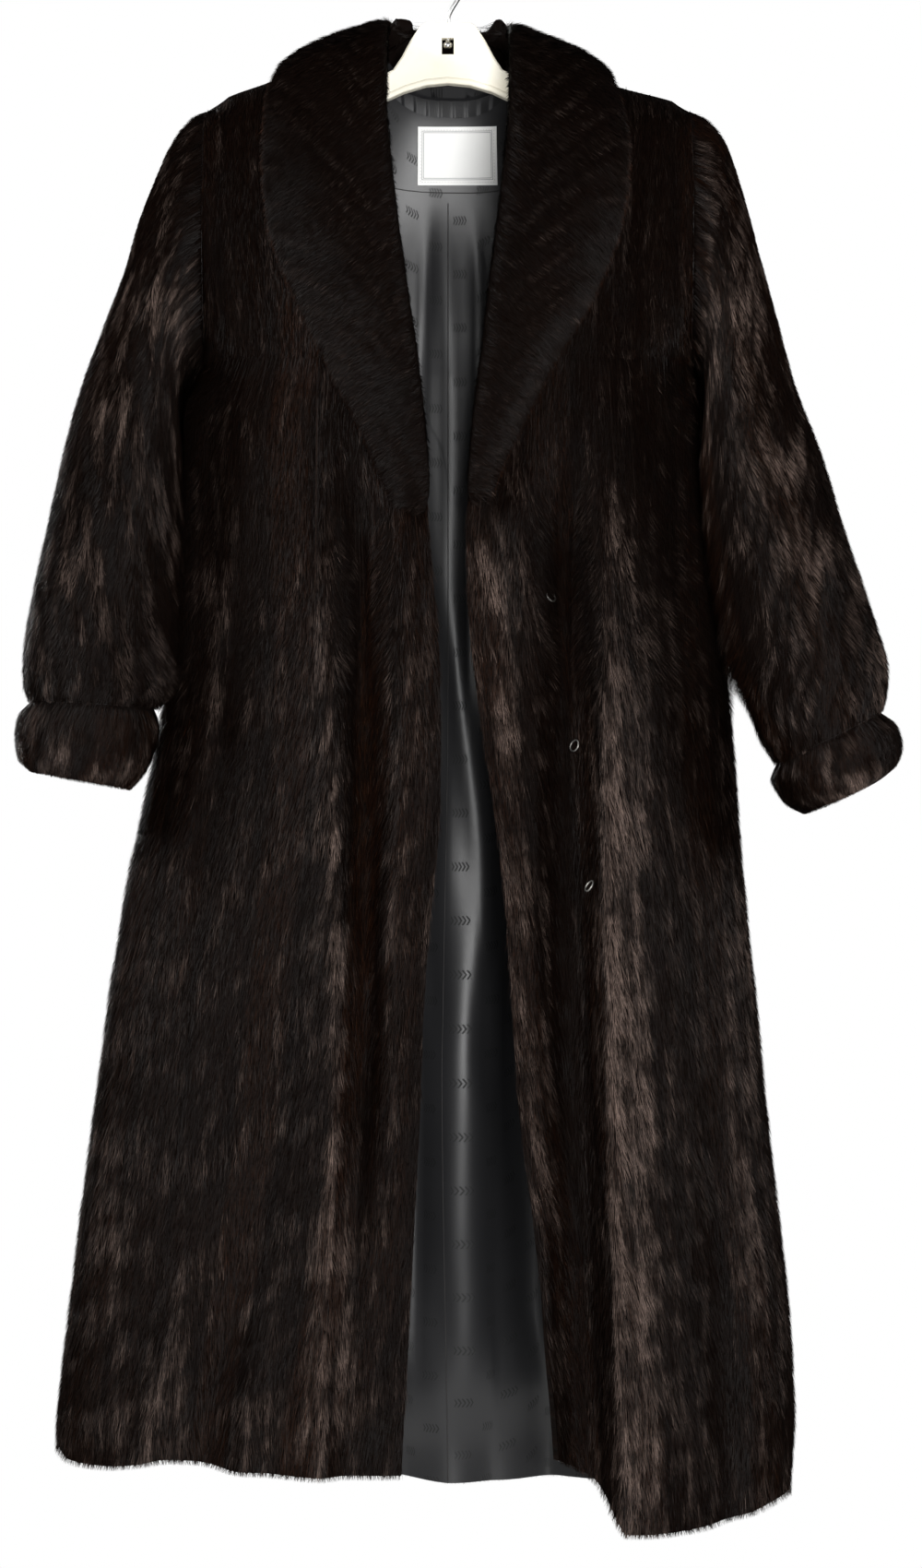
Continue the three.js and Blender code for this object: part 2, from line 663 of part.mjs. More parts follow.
function backGrid() {
  const half = BACK_COLUMNS / 2;
  return panelLevels().map((level) => {
    const row = [];
    for (let c = 0; c <= BACK_COLUMNS; c += 1) {
      const sign = c <= half ? -1 : 1;
      const u = 1 - Math.abs(c - half) / half;
      row.push(panelPlace('back', sign, level, columnShare(u), () => sign * MIDDLE_X));
    }
    return row;
  });
}

const rightFront = frontGrid(-1);
const leftFront = frontGrid(1);
const back = backGrid();
add('front_right', wall(offsetGrid(rightFront, 0), offsetGrid(rightFront, FUR)), FUR_BROWN, FUR_ROUGH);
add('front_left', wall(offsetGrid(leftFront, 0), offsetGrid(leftFront, FUR)), FUR_BROWN, FUR_ROUGH);
add('back', wall(offsetGrid(back, 0), offsetGrid(back, FUR)), FUR_BROWN, FUR_ROUGH);

// Lining of the back, sewn to the yoke lining along a level seam
const YOKE_ROW = 3;
const LINING_START = FUR + LINING_CLEAR;
const yokeRows = back.slice(0, YOKE_ROW + 1);
const liningRows = back.slice(YOKE_ROW);

function lowered(rows, amount) {
  return rows.map((row, r) => row.map(({ place, normal }) => {
    const moved = place.clone();
    moved.z -= r === 0 ? amount : 0;
    return { place: moved, normal };
  }));
}

function addLining(name, grid) {
  const shape = wall(offsetGrid(grid, LINING_START), offsetGrid(grid, LINING_START + SATIN));
  add(name, shape, SATIN_BLACK, SATIN_ROUGH);
}

addLining('lining_yoke', yokeRows);
addLining('lining', lowered(liningRows, SEAM));

// Sleeves and cuffs
function ringGrid(table, columns, forward, shape) {
  return table.map((row, r) => {
    const along = r / (table.length - 1);
    const out = new THREE.Vector3(row.outX, 0, row.outZ);
    const inner = new THREE.Vector3(row.inX, 0, row.inZ);
    const middle = out.clone().add(inner).multiplyScalar(0.5);
    middle.y -= forward(along);
    const half = out.clone().sub(inner).multiplyScalar(0.5);
    const length = half.length();
    const points = [];
    for (let c = 0; c < columns; c += 1) {
      const angle = (2 * Math.PI * c) / columns;
      const swell = shape ? shape(along, c / columns) : 0;
      const place = middle.clone()
        .addScaledVector(half, Math.cos(angle) * (1 + swell / length))
        .add(new THREE.Vector3(0, -Math.sin(angle) * (row.depth + swell), 0));
      const normal = half.clone().normalize().multiplyScalar(Math.cos(angle) * row.depth)
        .add(new THREE.Vector3(0, -Math.sin(angle) * length, 0)).normalize();
      points.push({ place, normal });
    }
    return points;
  });
}

function sleeveShape(along, round) {
  let sum = 0;
  for (const crease of SLEEVE_CREASES) {
    const a = (along - crease.along) / crease.length;
    const b = (round - crease.round) / crease.width;
    sum += crease.depth * Math.exp(-a * a - b * b);
  }
  const nearCuff = smooth((along - GATHER_START) / (1 - GATHER_START));
  return sum + GATHER_DEPTH * nearCuff * Math.cos(2 * Math.PI * GATHERS * round);
}

function hangForward(along) {
  return SLEEVE_FORWARD * smooth(along / FORWARD_BY);
}

function tube(name, table, thick, forward, shape) {
  const grid = ringGrid(table, SLEEVE_COLUMNS, forward, shape);
  add(name, wall(offsetGrid(grid, 0), offsetGrid(grid, thick), true), FUR_BROWN, FUR_ROUGH);
}

tube('sleeve_right', SLEEVE_RIGHT, FUR, hangForward, sleeveShape);
tube('sleeve_left', SLEEVE_LEFT, FUR, hangForward, sleeveShape);
tube('cuff_right', CUFF_RIGHT, CUFF_THICK, () => SLEEVE_FORWARD);
tube('cuff_left', CUFF_LEFT, CUFF_THICK, () => SLEEVE_FORWARD);

// Bilinear point of a panel grid at a place across and up, moved inward by a distance
function onGrid(grid, x, z, distance) {
  const hits = grid.map((row) => {
    let c = 0;
    while (c < row.length - 2 && row[c + 1].place.x < x) {
      c += 1;
    }
    const t = (x - row[c].place.x) / (row[c + 1].place.x - row[c].place.x);
    const place = row[c].place.clone().lerp(row[c + 1].place, t);
    const normal = row[c].normal.clone().lerp(row[c + 1].normal, t);
    return { place, normal };
  });
  let r = 0;
  while (r < hits.length - 2 && hits[r + 1].place.z > z) {
    r += 1;
  }
  const t = (hits[r].place.z - z) / (hits[r].place.z - hits[r + 1].place.z);
  const place = hits[r].place.clone().lerp(hits[r + 1].place, t);
  const normal = hits[r].normal.clone().lerp(hits[r + 1].normal, t);
  return place.addScaledVector(normal, -distance);
}

// Thin piece sewn to the inside of the back
function appliedPiece(name, columns, rows, placeAt, thick, color, lift) {
  const outer = [];
  const inner = [];
  for (let r = 0; r <= rows; r += 1) {
    outer.push([]);
    inner.push([]);
    for (let c = 0; c <= columns; c += 1) {
      const { x, z, extra } = placeAt(c / columns, r / rows, c);
      outer[r].push(onGrid(back, x, z, LINING_START + SATIN + lift));
      inner[r].push(onGrid(back, x, z, LINING_START + SATIN + lift + thick + extra));
    }
  }
  add(name, wall(outer, inner), color, TRIM_ROUGH);
}

appliedPiece('label', LABEL_COLUMNS, LABEL_ROWS, (u, v) => ({
  x: mix(LABEL_LEFT, LABEL_RIGHT, u),
  z: mix(LABEL_TOP, LABEL_BOTTOM, v),
  extra: 0,
}), LABEL_THICK, LABEL_WHITE, LABEL_LIFT);

appliedPiece('neck_band', BAND_PLEATS * 2, BAND_ROWS, (u, v, c) => {
  const x = mix(-BAND_HALF, BAND_HALF, u);
  return {
    x,
    z: topZ('back', x) - mix(BAND_TOP, BAND_BOTTOM, v),
    extra: c % 2 ? PLEAT_DEPTH : 0,
  };
}, BAND_THICK, SATIN_BLACK, BAND_LIFT);

// Collar: closed sections that lie on the panels, with a thick roll along the neck and the fronts
function collarSection(row) {
  const under = [];
  const normals = [];
  for (let i = 0; i <= COLLAR_STEPS; i += 1) {
    const t = i / COLLAR_STEPS;
    const x = mix(row.edgeX, row.outX, t);
    const seam = row.face === 'seam';
    const z = seam ? shoulderZ(x) : Math.min(mix(row.edgeZ, row.outZ, t), topZ(row.face, x));
    const place = seam ? new THREE.Vector3(x, 0, z) : bodyPoint(row.face, x, z);
    const normal = seam ? new THREE.Vector3(0, 0, 1) : bodyNormal(row.face, x, z);
    under.push(place.addScaledVector(normal, COLLAR_CLEAR));
    normals.push(normal);
  }
  const inward = under[0].clone().sub(under[1]).normalize();
  const stand = smooth((row.rise - COLLAR_FLAT) / (COLLAR_STAND - COLLAR_FLAT));
  under[0].z += stand * COLLAR_CLEAR;
  const up = new THREE.Vector3(0, 0, 1);
  const top = under.map((place, i) => {
    const t = i / COLLAR_STEPS;
    const dome = COLLAR_DOME * Math.sin(Math.PI * t) * (row.rise / COLLAR_STAND);
    const lift = mix(row.rise, COLLAR_EDGE, t) + dome;
    const direction = normals[i].clone().lerp(up, stand * (1 - t)).normalize();
    return place.clone().addScaledVector(direction, i === COLLAR_STEPS ? lift * COLLAR_END_LIFT : lift);
  });
  const roll = under[0].clone().lerp(top[0], ROLL_HEIGHT).addScaledVector(inward, row.over);
  top[0].addScaledVector(inward, row.over * ROLL_SHARE);
  const last = under[COLLAR_STEPS];
  const outward = last.clone().sub(under[COLLAR_STEPS - 1]).normalize();
  const lip = last.clone().lerp(top[COLLAR_STEPS], 0.5).addScaledVector(outward, COLLAR_LIP);
  return [roll, ...top, lip, ...under.reverse()];
}

// Closed solid through a row of closed sections, with flat ends
function loft(sections) {
  const count = sections[0].length;
  const positions = sections.flat().flatMap((point) => [point.x, point.y, point.z]);
  const index = [];
  for (let s = 0; s < sections.length - 1; s += 1) {
    for (let i = 0; i < count; i += 1) {
      const a = s * count + i;
      const b = s * count + ((i + 1) % count);
      index.push(a, b, b + count, a, b + count, a + count);
    }
  }
  const fill = (start, flip) => {
    const steps = count / 2 - 1;
    for (let i = 0; i < steps; i += 1) {
      const a = start + i;
      const b = start + i + 1;
      const c = start + count - 1 - (i + 1);
      const d = start + count - 1 - i;
      const faces = [[a, b, c], [a, c, d]];
      for (const face of faces) {
        index.push(...(flip ? face.reverse() : face));
      }
    }
  };
  fill(0, true);
  fill((sections.length - 1) * count, false);
  const geometry = new THREE.BufferGeometry();
  geometry.setAttribute('position', new THREE.Float32BufferAttribute(positions, 3));
  geometry.setIndex(index);
  return faceOutward(geometry);
}

add('collar', loft(COLLAR.map(collarSection)), FUR_BROWN, FUR_ROUGH);

// Hanger: one moulded board with a lower flange, a window and a bore for the hook
function toSolid(geometry) {
  const bare = geometry.clone();
  bare.deleteAttribute('normal');
  bare.deleteAttribute('uv');
  const merged = mergeVertices(bare, WELD);
  return new manifoldLibrary.Manifold(new manifoldLibrary.Mesh({
    numProp: 3,
    vertProperties: new Float32Array(merged.getAttribute('position').array),
    triVerts: new Uint32Array(merged.getIndex().array),
  }));
}

function fromSolid(solid) {
  const mesh = solid.getMesh();
  const geometry = new THREE.BufferGeometry();
  geometry.setAttribute('position', new THREE.Float32BufferAttribute(mesh.vertProperties, 3));
  geometry.setIndex(Array.from(mesh.triVerts));
  geometry.computeVertexNormals();
  return geometry;
}

// Upright board: an outline across and up, given thickness front to back
function board(points, thick, bevel) {
  const shape = new THREE.Shape(points.map(([x, z]) => new THREE.Vector2(x, z)));
  const geometry = new THREE.ExtrudeGeometry(shape, {
    depth: thick - 2 * bevel,
    bevelEnabled: bevel > 0,
    bevelThickness: bevel,
    bevelSize: bevel,
    bevelOffset: -bevel,
    bevelSegments: BEVEL_STEPS,
  });
  geometry.translate(0, 0, -thick / 2 + bevel);
  geometry.rotateX(Math.PI / 2);
  return geometry;
}

// Closed outline of the hanger between an upper and a lower edge of one half
function bothHalves(upper, lower) {
  const opposite = (points) => points.filter(([x]) => x > 0).map(([x, z]) => [-x, z]);
  return [...opposite(upper).reverse(), ...upper, ...[...lower].reverse(), ...opposite(lower)];
}

const topHalf = HANGER_TOP.map(({ x, z }) => [x, z]);
const lowHalf = HANGER_LOW.map(({ x, z }) => [x, z]);
const flangeTop = lowHalf.map(([x, z]) => [x, z + FLANGE_TALL]);
const boardSolid = toSolid(board(bothHalves(topHalf, lowHalf), HANGER_THICK, HANGER_BEVEL));
const flangeSolid = toSolid(board(bothHalves(flangeTop, lowHalf), FLANGE_THICK, HANGER_BEVEL));
const windowBox = new THREE.BoxGeometry(WINDOW_WIDE, HANGER_THICK * 2, WINDOW_TALL);
windowBox.translate(0, 0, WINDOW_Z);
const boreTop = HANGER_Z + BORE_OVER;
const bore = new THREE.CylinderGeometry(BORE_RADIUS, BORE_RADIUS, boreTop - WINDOW_Z, BORE_SIDES);
bore.rotateX(Math.PI / 2);
bore.translate(0, 0, (boreTop + WINDOW_Z) / 2);
const hangerSolid = boardSolid.add(flangeSolid).subtract(toSolid(windowBox)).subtract(toSolid(bore));
add('hanger', fromSolid(hangerSolid), PLASTIC_CREAM, TRIM_ROUGH);

// Hook: round wire from the window up, round to the side and over the top
class HookPath extends THREE.Curve {
  getPoint(t, target = new THREE.Vector3()) {
    if (t < SHANK_SHARE) {
      const s = t / SHANK_SHARE;
      const lean = smooth((s - LEAN_START) / (1 - LEAN_START));
      const startX = HOOK_RADIUS * Math.cos(HOOK_START);
      const startZ = HOOK_CENTRE_Z + HOOK_RADIUS * Math.sin(HOOK_START);
      return target.set(startX * lean, 0, mix(SHANK_BOTTOM, startZ, s));
    }
    const angle = mix(HOOK_START, HOOK_END, (t - SHANK_SHARE) / (1 - SHANK_SHARE));
    return target.set(HOOK_RADIUS * Math.cos(angle), 0, HOOK_CENTRE_Z + HOOK_RADIUS * Math.sin(angle));
  }
}

const wire = new THREE.Shape();
wire.absarc(0, 0, HOOK_WIRE, 0, 2 * Math.PI);
const hookWire = new THREE.ExtrudeGeometry(wire, {
  steps: WIRE_STEPS,
  bevelEnabled: false,
  curveSegments: WIRE_SIDES,
  extrudePath: new HookPath(),
});
const knob = new THREE.SphereGeometry(KNOB_RADIUS, KNOB_SIDES, KNOB_ROWS);
const endPoint = new HookPath().getPoint(1);
knob.translate(endPoint.x, 0, endPoint.z);
const stop = new THREE.CylinderGeometry(STOP_RADIUS, STOP_RADIUS, STOP_TALL, STOP_SIDES);
stop.rotateX(Math.PI / 2);
stop.translate(0, 0, SHANK_BOTTOM + STOP_TALL / 2);
const hookSolid = toSolid(hookWire).add(toSolid(knob)).add(toSolid(stop));
add('hook', fromSolid(hookSolid), STEEL_GREY, STEEL_ROUGH, 1);

// Closure eyes: wire rings on the wearer's left front
EYES.forEach(({ x, z, tilt, lift }, i) => {
  const ring = new THREE.TorusGeometry(EYE_RADIUS, EYE_WIRE, EYE_WIRE_SIDES, EYE_STEPS);
  const normal = bodyNormal('front', x, z);
  const mesh = add(`closure_eye_${i + 1}`, ring, EYE_GREY, STEEL_ROUGH, 1);
  mesh.position.copy(bodyPoint('front', x, z).addScaledVector(normal, lift));
  normal.z += tilt;
  mesh.lookAt(mesh.position.clone().add(normal));
});

export default coat;
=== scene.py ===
"""Looks of a full-length fur coat that hangs open on a moulded hanger.

Metres, +Z up, the open front faces -Y and the origin is the inside top of the hook. The drape is
worked out again here from the coat's own sizes, in millimetres, so that the pelts, their guard
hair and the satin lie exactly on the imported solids.
"""
import logging
from dataclasses import dataclass, field
from enum import Enum
from typing import NamedTuple

import bpy
import numpy as np
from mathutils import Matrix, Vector


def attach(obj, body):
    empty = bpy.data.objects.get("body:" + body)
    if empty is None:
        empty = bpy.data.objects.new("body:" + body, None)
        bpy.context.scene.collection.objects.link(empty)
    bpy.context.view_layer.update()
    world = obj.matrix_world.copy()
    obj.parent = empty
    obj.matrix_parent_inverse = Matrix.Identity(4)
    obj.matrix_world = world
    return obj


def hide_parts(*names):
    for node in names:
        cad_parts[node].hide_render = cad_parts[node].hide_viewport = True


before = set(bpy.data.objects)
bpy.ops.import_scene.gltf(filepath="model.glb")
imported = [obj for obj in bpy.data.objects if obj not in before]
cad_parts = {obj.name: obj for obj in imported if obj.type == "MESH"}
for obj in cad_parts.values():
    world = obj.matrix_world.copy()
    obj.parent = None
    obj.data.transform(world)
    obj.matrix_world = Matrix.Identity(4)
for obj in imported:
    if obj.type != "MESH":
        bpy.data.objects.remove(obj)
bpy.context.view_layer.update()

LOG = logging.getLogger("fur_coat")
MM = 0.001

# Walls
FUR = 9.0
HAIR_DEPTH = 2.5
SATIN = 1.5
LINING_CLEAR = 0.6
HALF_SEAM = 0.15

# Armholes and neck
ARMHOLE_X = 220.0
SHOULDER_END_Z = -147.0
UNDERARM_Z = -383.0
ARMHOLE_DEPTH = 62.0
ARMHOLE_MID = (SHOULDER_END_Z + UNDERARM_Z) / 2
ARMHOLE_HALF = (SHOULDER_END_Z - UNDERARM_Z) / 2
ARMHOLE_REACH = 0.35
NECK_X = 62.0
NAPE_DROP = 26.0
NAPE_BACK = 34.0
OFF_MIDDLE = 0.001

# Fullness
CHEST_FRONT = 80.0
HEM_FRONT = 108.0
CHEST_BACK = 72.0
HEM_BACK = 112.0
ROUNDNESS = 2.5
HEM_Z = -1395.0

# Rows and columns of the drape, and how much finer the cloth is
ARMHOLE_ROWS = 7
LOWER_ROWS = 13
FRONT_COLUMNS = 22
BACK_COLUMNS = 28
YOKE_ROW = 3
FINE_ROWS = 3
FINE_COLUMNS = 2


class Face(Enum):
    """Side of the body that a panel covers."""

    FRONT = -1
    BACK = 1


class Side(Enum):
    """Wearer's right lies at -X and the left at +X."""

    RIGHT = -1
    LEFT = 1


class Height(NamedTuple):
    """Height of an edge at a place across the coat."""

    x: float
    z: float


class Width(NamedTuple):
    """Reach of both sides at one height."""

    z: float
    right: float
    left: float


class Fold(NamedTuple):
    """One fold: its line, heights, half-widths and depth; a ridge is positive."""

    panel: str
    top: float
    middle: float
    bottom: float
    start: float
    full: float
    end: float
    west: float
    east: float
    depth: float


class Ring(NamedTuple):
    """One section of a sleeve or cuff, from its outer to its inner side."""

    out_x: float
    out_z: float
    in_x: float
    in_z: float
    depth: float


class Crease(NamedTuple):
    """A soft dent or swelling of a sleeve, placed along it and round it."""

    along: float
    round: float
    length: float
    width: float
    depth: float


class PaintedSheenSpot(NamedTuple):
    """A spot of painted highlight on the hair: middle, reach and strength."""

    x: float
    z: float
    wide: float
    tall: float
    gain: float


class Station(NamedTuple):
    """One section of the collar: neck edge, outer edge, height and roll."""

    face: str
    edge_x: float
    edge_z: float
    out_x: float
    out_z: float
    rise: float
    over: float


SHOULDER = (
    Height(-220, -147), Height(-200, -133), Height(-155, -116), Height(-62, -94), Height(62, -98),
    Height(147, -121), Height(205, -137), Height(220, -147),
)
SIDES = (
    Width(-1425, -350, 310), Width(-1350, -357, 316), Width(-1307, -353, 315), Width(-1225, -343, 310),
    Width(-1132, -332, 299), Width(-1042, -320, 289), Width(-929, -305, 278), Width(-833, -289, 268),
    Width(-746, -270, 262), Width(-685, -259, 256), Width(-613, -251, 248), Width(-528, -247, 236),
    Width(-433, -240, 227), Width(-383, -220, 220),
)
FRONT_EDGES = (
    Width(-1400, -42, 103), Width(-1300, -37, 95), Width(-1205, -32, 83), Width(-1125, -28, 73),
    Width(-1050, -24, 63), Width(-975, -22, 58), Width(-890, -16, 53), Width(-805, -7, 44),
    Width(-720, -5, 32), Width(-640, -7, 21), Width(-580, -12, 17), Width(-510, -18, 18),
    Width(-440, -24, 26), Width(-374, -32, 35), Width(-320, -40, 41), Width(-260, -50, 49),
    Width(-200, -57, 56), Width(-140, -61, 61), Width(-94, -62, 62),
)
FRONT_HEM = (
    Height(-362, -1358), Height(-345, -1369), Height(-301, -1370), Height(-257, -1361), Height(-232, -1361),
    Height(-203, -1366), Height(-150, -1370), Height(-40, -1371), Height(100, -1359), Height(134, -1381),
    Height(152, -1417), Height(200, -1420), Height(240, -1418), Height(284, -1408), Height(316, -1399),
)
BACK_HEM = (
    Height(-362, -1358), Height(-345, -1369), Height(-200, -1388), Height(0, -1414), Height(200, -1410),
    Height(284, -1408), Height(316, -1399),
)
FOLDS = (
    Fold("front_right", -173, -200, -236, -500, -640, -980, 24, 24, -10),
    Fold("front_right", -112, -94, -112, -480, -640, -1700, 62, 24, 17),
    Fold("front_right", -76, -72, -76, -470, -560, -1180, 26, 30, -15),
    Fold("front_right", -40, -34, -60, -470, -600, -980, 26, 40, 10),
    Fold("front_right", -200, -240, -278, -1080, -1290, -1700, 34, 30, 14),
    Fold("front_right", -170, -196, -222, -1120, -1300, -1700, 22, 24, -12),
    Fold("front_right", -130, -160, -188, -1080, -1300, -1700, 22, 34, 11),
    Fold("front_left", 62, 66, 78, -440, -540, -700, 26, 22, 9),
    Fold("front_left", 104, 103, 118, -420, -560, -1700, 30, 30, -17),
    Fold("front_left", 143, 142, 156, -330, -700, -1700, 30, 125, 34),
    Fold("front_left", 236, 242, 250, -960, -1200, -1700, 26, 24, -12),
    Fold("front_left", 262, 272, 280, -960, -1200, -1700, 28, 30, 10),
    Fold("back", -205, -232, -268, -620, -980, -1700, 52, 46, 18),
    Fold("back", -130, -150, -182, -700, -1080, -1700, 40, 44, -14),
    Fold("back", -62, -76, -92, -560, -960, -1700, 50, 52, 20),
    Fold("back", 8, 10, 2, -640, -1060, -1700, 44, 42, -16),
    Fold("back", 74, 84, 96, -580, -980, -1700, 52, 48, 22),
    Fold("back", 140, 156, 176, -720, -1100, -1700, 42, 44, -15),
    Fold("back", 196, 216, 244, -620, -1000, -1700, 50, 48, 16),
)
SLEEVE_RIGHT = (
    Ring(-220.3, -147, -220.3, -383, 62), Ring(-235, -159, -225, -387, 64), Ring(-249, -181, -231, -396, 66),
    Ring(-263, -217, -238, -411, 68), Ring(-277, -257, -240, -432, 70), Ring(-289, -300, -241, -459, 72),
    Ring(-308, -350, -243, -495, 73), Ring(-329, -406, -244, -534, 75), Ring(-348, -478, -245, -576, 77),
    Ring(-361, -538, -246, -616, 78), Ring(-374, -600, -248, -650, 78), Ring(-381, -646, -251, -673, 75),
    Ring(-381, -672, -255, -686, 70), Ring(-376, -686, -262, -693, 64),
)
SLEEVE_LEFT = (
    Ring(220.3, -147, 220.3, -383, 62), Ring(237, -159, 225, -387, 64), Ring(250, -178, 227, -397, 66),
    Ring(259, -208, 229, -413, 68), Ring(269, -245, 229, -434, 70), Ring(280, -288, 229, -461, 72),
    Ring(294, -338, 231, -497, 73), Ring(311, -402, 235, -538, 75), Ring(336, -466, 241, -578, 77),
    Ring(354, -526, 248, -618, 78), Ring(376, -592, 257, -656, 78), Ring(394, -648, 270, -692, 75),
    Ring(395, -678, 281, -722, 70), Ring(390, -695, 294, -742, 64),
)
CUFF_RIGHT = (
    Ring(-376, -686.35, -262, -693.35, 64), Ring(-385, -698, -259, -708, 69),
    Ring(-388, -722, -264, -734, 71), Ring(-384, -741, -275, -755, 69), Ring(-375, -749, -285, -765, 62),
)
CUFF_LEFT = (
    Ring(390.15, -695.35, 294.15, -742.35, 64), Ring(404, -710, 291, -758, 69),
    Ring(408, -728, 297, -770, 71), Ring(403, -744, 307, -782, 69), Ring(391, -754, 320, -787, 62),
)
CREASES = (
    Crease(0.30, 0.75, 0.09, 0.10, -7), Crease(0.42, 0.62, 0.08, 0.14, 5),
    Crease(0.55, 0.80, 0.08, 0.12, -6), Crease(0.70, 0.68, 0.10, 0.12, -6),
    Crease(0.84, 0.84, 0.08, 0.10, 6), Crease(0.40, 0.30, 0.10, 0.14, -6),
    Crease(0.66, 0.22, 0.09, 0.12, -6), Crease(0.86, 0.32, 0.08, 0.12, 5),
)
# Spots of painted highlight on the front's hair.
PAINTED_SHEEN_SPOTS = (
    PaintedSheenSpot(36, -575, 18, 60, 0.50), PaintedSheenSpot(48, -690, 16, 70, 0.42),
    PaintedSheenSpot(60, -860, 14, 110, 0.30), PaintedSheenSpot(78, -1100, 14, 160, 0.26),
    PaintedSheenSpot(-262, -330, 28, 26, 0.40), PaintedSheenSpot(-300, -430, 26, 24, 0.34),
    PaintedSheenSpot(-330, -560, 30, 30, 0.30), PaintedSheenSpot(-352, -735, 22, 18, 0.36),
    PaintedSheenSpot(256, -330, 22, 50, 0.42), PaintedSheenSpot(300, -470, 26, 26, 0.40),
    PaintedSheenSpot(330, -560, 34, 30, 0.44), PaintedSheenSpot(384, -640, 16, 40, 0.36),
    PaintedSheenSpot(350, -755, 30, 14, 0.30), PaintedSheenSpot(262, -1050, 16, 240, 0.34),
    PaintedSheenSpot(-88, -1250, 12, 110, 0.40), PaintedSheenSpot(-206, -620, 12, 90, 0.34),
    PaintedSheenSpot(-300, -1180, 18, 130, 0.30), PaintedSheenSpot(-250, -1310, 60, 26, 0.26),
)
GATHERS = 12
GATHER_DEPTH = 1.8
CUFF_THICK = 13.0
SLEEVE_FORWARD = 45.0
FORWARD_BY = 0.35
COLLAR = (
    Station("front", -21, -522, -48, -512, 9, 2), Station("front", -18, -500, -58, -488, 15, 4),
    Station("front", -21, -462, -77, -446, 18, 6), Station("front", -26, -420, -98, -404, 20, 7),
    Station("front", -33, -370, -120, -358, 21, 8), Station("front", -41, -318, -139, -314, 22, 8),
    Station("front", -49, -262, -155, -272, 23, 8), Station("front", -56, -210, -162, -230, 25, 9),
    Station("front", -60, -165, -163, -190, 27, 9), Station("front", -61, -132, -161, -158, 28, 10),
    Station("front", -62, -110, -157, -135, 27, 11), Station("front", -62, -100, -153, -125, 26, 12),
    Station("seam", -62, -94, -150, -118, 26, 12), Station("back", -61, -97, -149, -127, 28, 12),
    Station("back", -60, -99, -148, -141, 31, 11), Station("back", -58, -100, -145, -160, 34, 10),
    Station("back", -48, -106, -125, -185, 38, 9), Station("back", -32, -114, -84, -204, 42, 8),
    Station("back", -12, -120, -32, -213, 47, 8), Station("back", 12, -121, 32, -214, 47, 8),
    Station("back", 32, -116, 84, -206, 42, 8), Station("back", 48, -109, 124, -188, 38, 9),
    Station("back", 58, -103, 142, -164, 34, 10), Station("back", 60, -103, 144, -147, 31, 11),
    Station("back", 61, -101, 145, -133, 28, 12), Station("seam", 62, -98, 145, -124, 26, 12),
    Station("front", 62, -104, 147, -130, 26, 12), Station("front", 62, -114, 151, -141, 27, 11),
    Station("front", 61, -136, 157, -164, 28, 10), Station("front", 60, -168, 160, -194, 27, 9),
    Station("front", 56, -212, 157, -234, 25, 9), Station("front", 49, -264, 148, -276, 23, 8),
    Station("front", 42, -318, 130, -322, 22, 8), Station("front", 36, -370, 106, -366, 21, 8),
    Station("front", 28, -420, 83, -408, 20, 7), Station("front", 23, -462, 64, -448, 18, 6),
    Station("front", 19, -496, 50, -480, 14, 4), Station("front", 20, -512, 43, -500, 8, 2),
)
COLLAR_STEPS = 5
COLLAR_CLEAR = 3.0
COLLAR_EDGE = 12.0
COLLAR_FLAT = 24.0
COLLAR_STAND = 46.0
COLLAR_DOME = 6.0
COLLAR_LIP = 4.0

# Heights between which sleeve and body touch, and how far the pelts swell with their hair there
FLUFF_TOP = -360.0
FLUFF_LOW = -700.0
SWELL_SHARE = 0.6

# Painted highlight in the hair's colour: on the crests of the folds, in streaks, in patches and at listed
# spots, with painted shade in the valleys and on the upper body
CREST_POWER = 10.0
CREST_DEPTH = 17.0
CREST_TOP = 1.1
CREST_GAIN = 0.50
UPPER_Z = -400.0
UPPER_FADE = 320.0
UPPER_SHARE = 0.35
PAINTED_SHEEN_SPOT_GAIN = 1.35
PATCH_GAIN = 0.34
STREAK_GAIN = 0.12
SHINE_SPREAD = 0.16
SHINE_POWER = 2.2
STREAKS = ((31.0, 260.0), (17.0, 170.0), (9.0, 120.0))
PATCHES = (150.0, 84.0, 47.0, 26.0)

# Dashes woven into the satin, and the label's double line, in metres on the cloth
DASH_SLANT = 0.45
DASH_SHARE = 0.42
DASHES_HALF_WIDE = 0.0062
DASHES_HALF_TALL = 0.0042
BORDER_LINES = (0.0042, 0.0056)
BORDER_HALF_LINE = 0.00028

# Angle in radians past which an edge stays sharp
RIM_ANGLE = 1.0


def column(table: tuple, name: str) -> np.ndarray:
    """Values of one named column of a table."""
    return np.array([getattr(row, name) for row in table], dtype=float)


def smooth(t: np.ndarray) -> np.ndarray:
    """Ease from 0 to 1."""
    s = np.clip(t, 0.0, 1.0)
    return s * s * (3 - 2 * s)


def mix(a: np.ndarray, b: np.ndarray, t: np.ndarray) -> np.ndarray:
    """Blend of a and b."""
    return a + (b - a) * t


def unit(v: np.ndarray) -> np.ndarray:
    """Vectors of length one."""
    return v / np.maximum(np.linalg.norm(v, axis=-1, keepdims=True), 1e-12)


def read_table(table: tuple, key: str, at: np.ndarray, name: str) -> np.ndarray:
    """Read one column of a table along another.

    Args:
        table: Rows in rising order of the key.
        key: Column that is read along.
        at: Places to read at.
        name: Column whose values are wanted.

    Returns:
        The value at each place, slightly rounded between the rows.
    """
    keys = column(table, key)
    values = column(table, name)
    at = np.asarray(at, dtype=float)
    i = np.clip(np.searchsorted(keys, at), 1, len(keys) - 1)
    t = np.clip((at - keys[i - 1]) / (keys[i] - keys[i - 1]), 0, 1)
    a = values[i - 1]
    b = values[i]
    before = values[np.maximum(i - 2, 0)]
    after = values[np.minimum(i + 1, len(keys) - 1)]
    curve = t * (1 - t) * ((b - after) * t + (a - before) * (1 - t)) / 4
    return mix(a, b, t) + np.clip(curve, -1, 1)


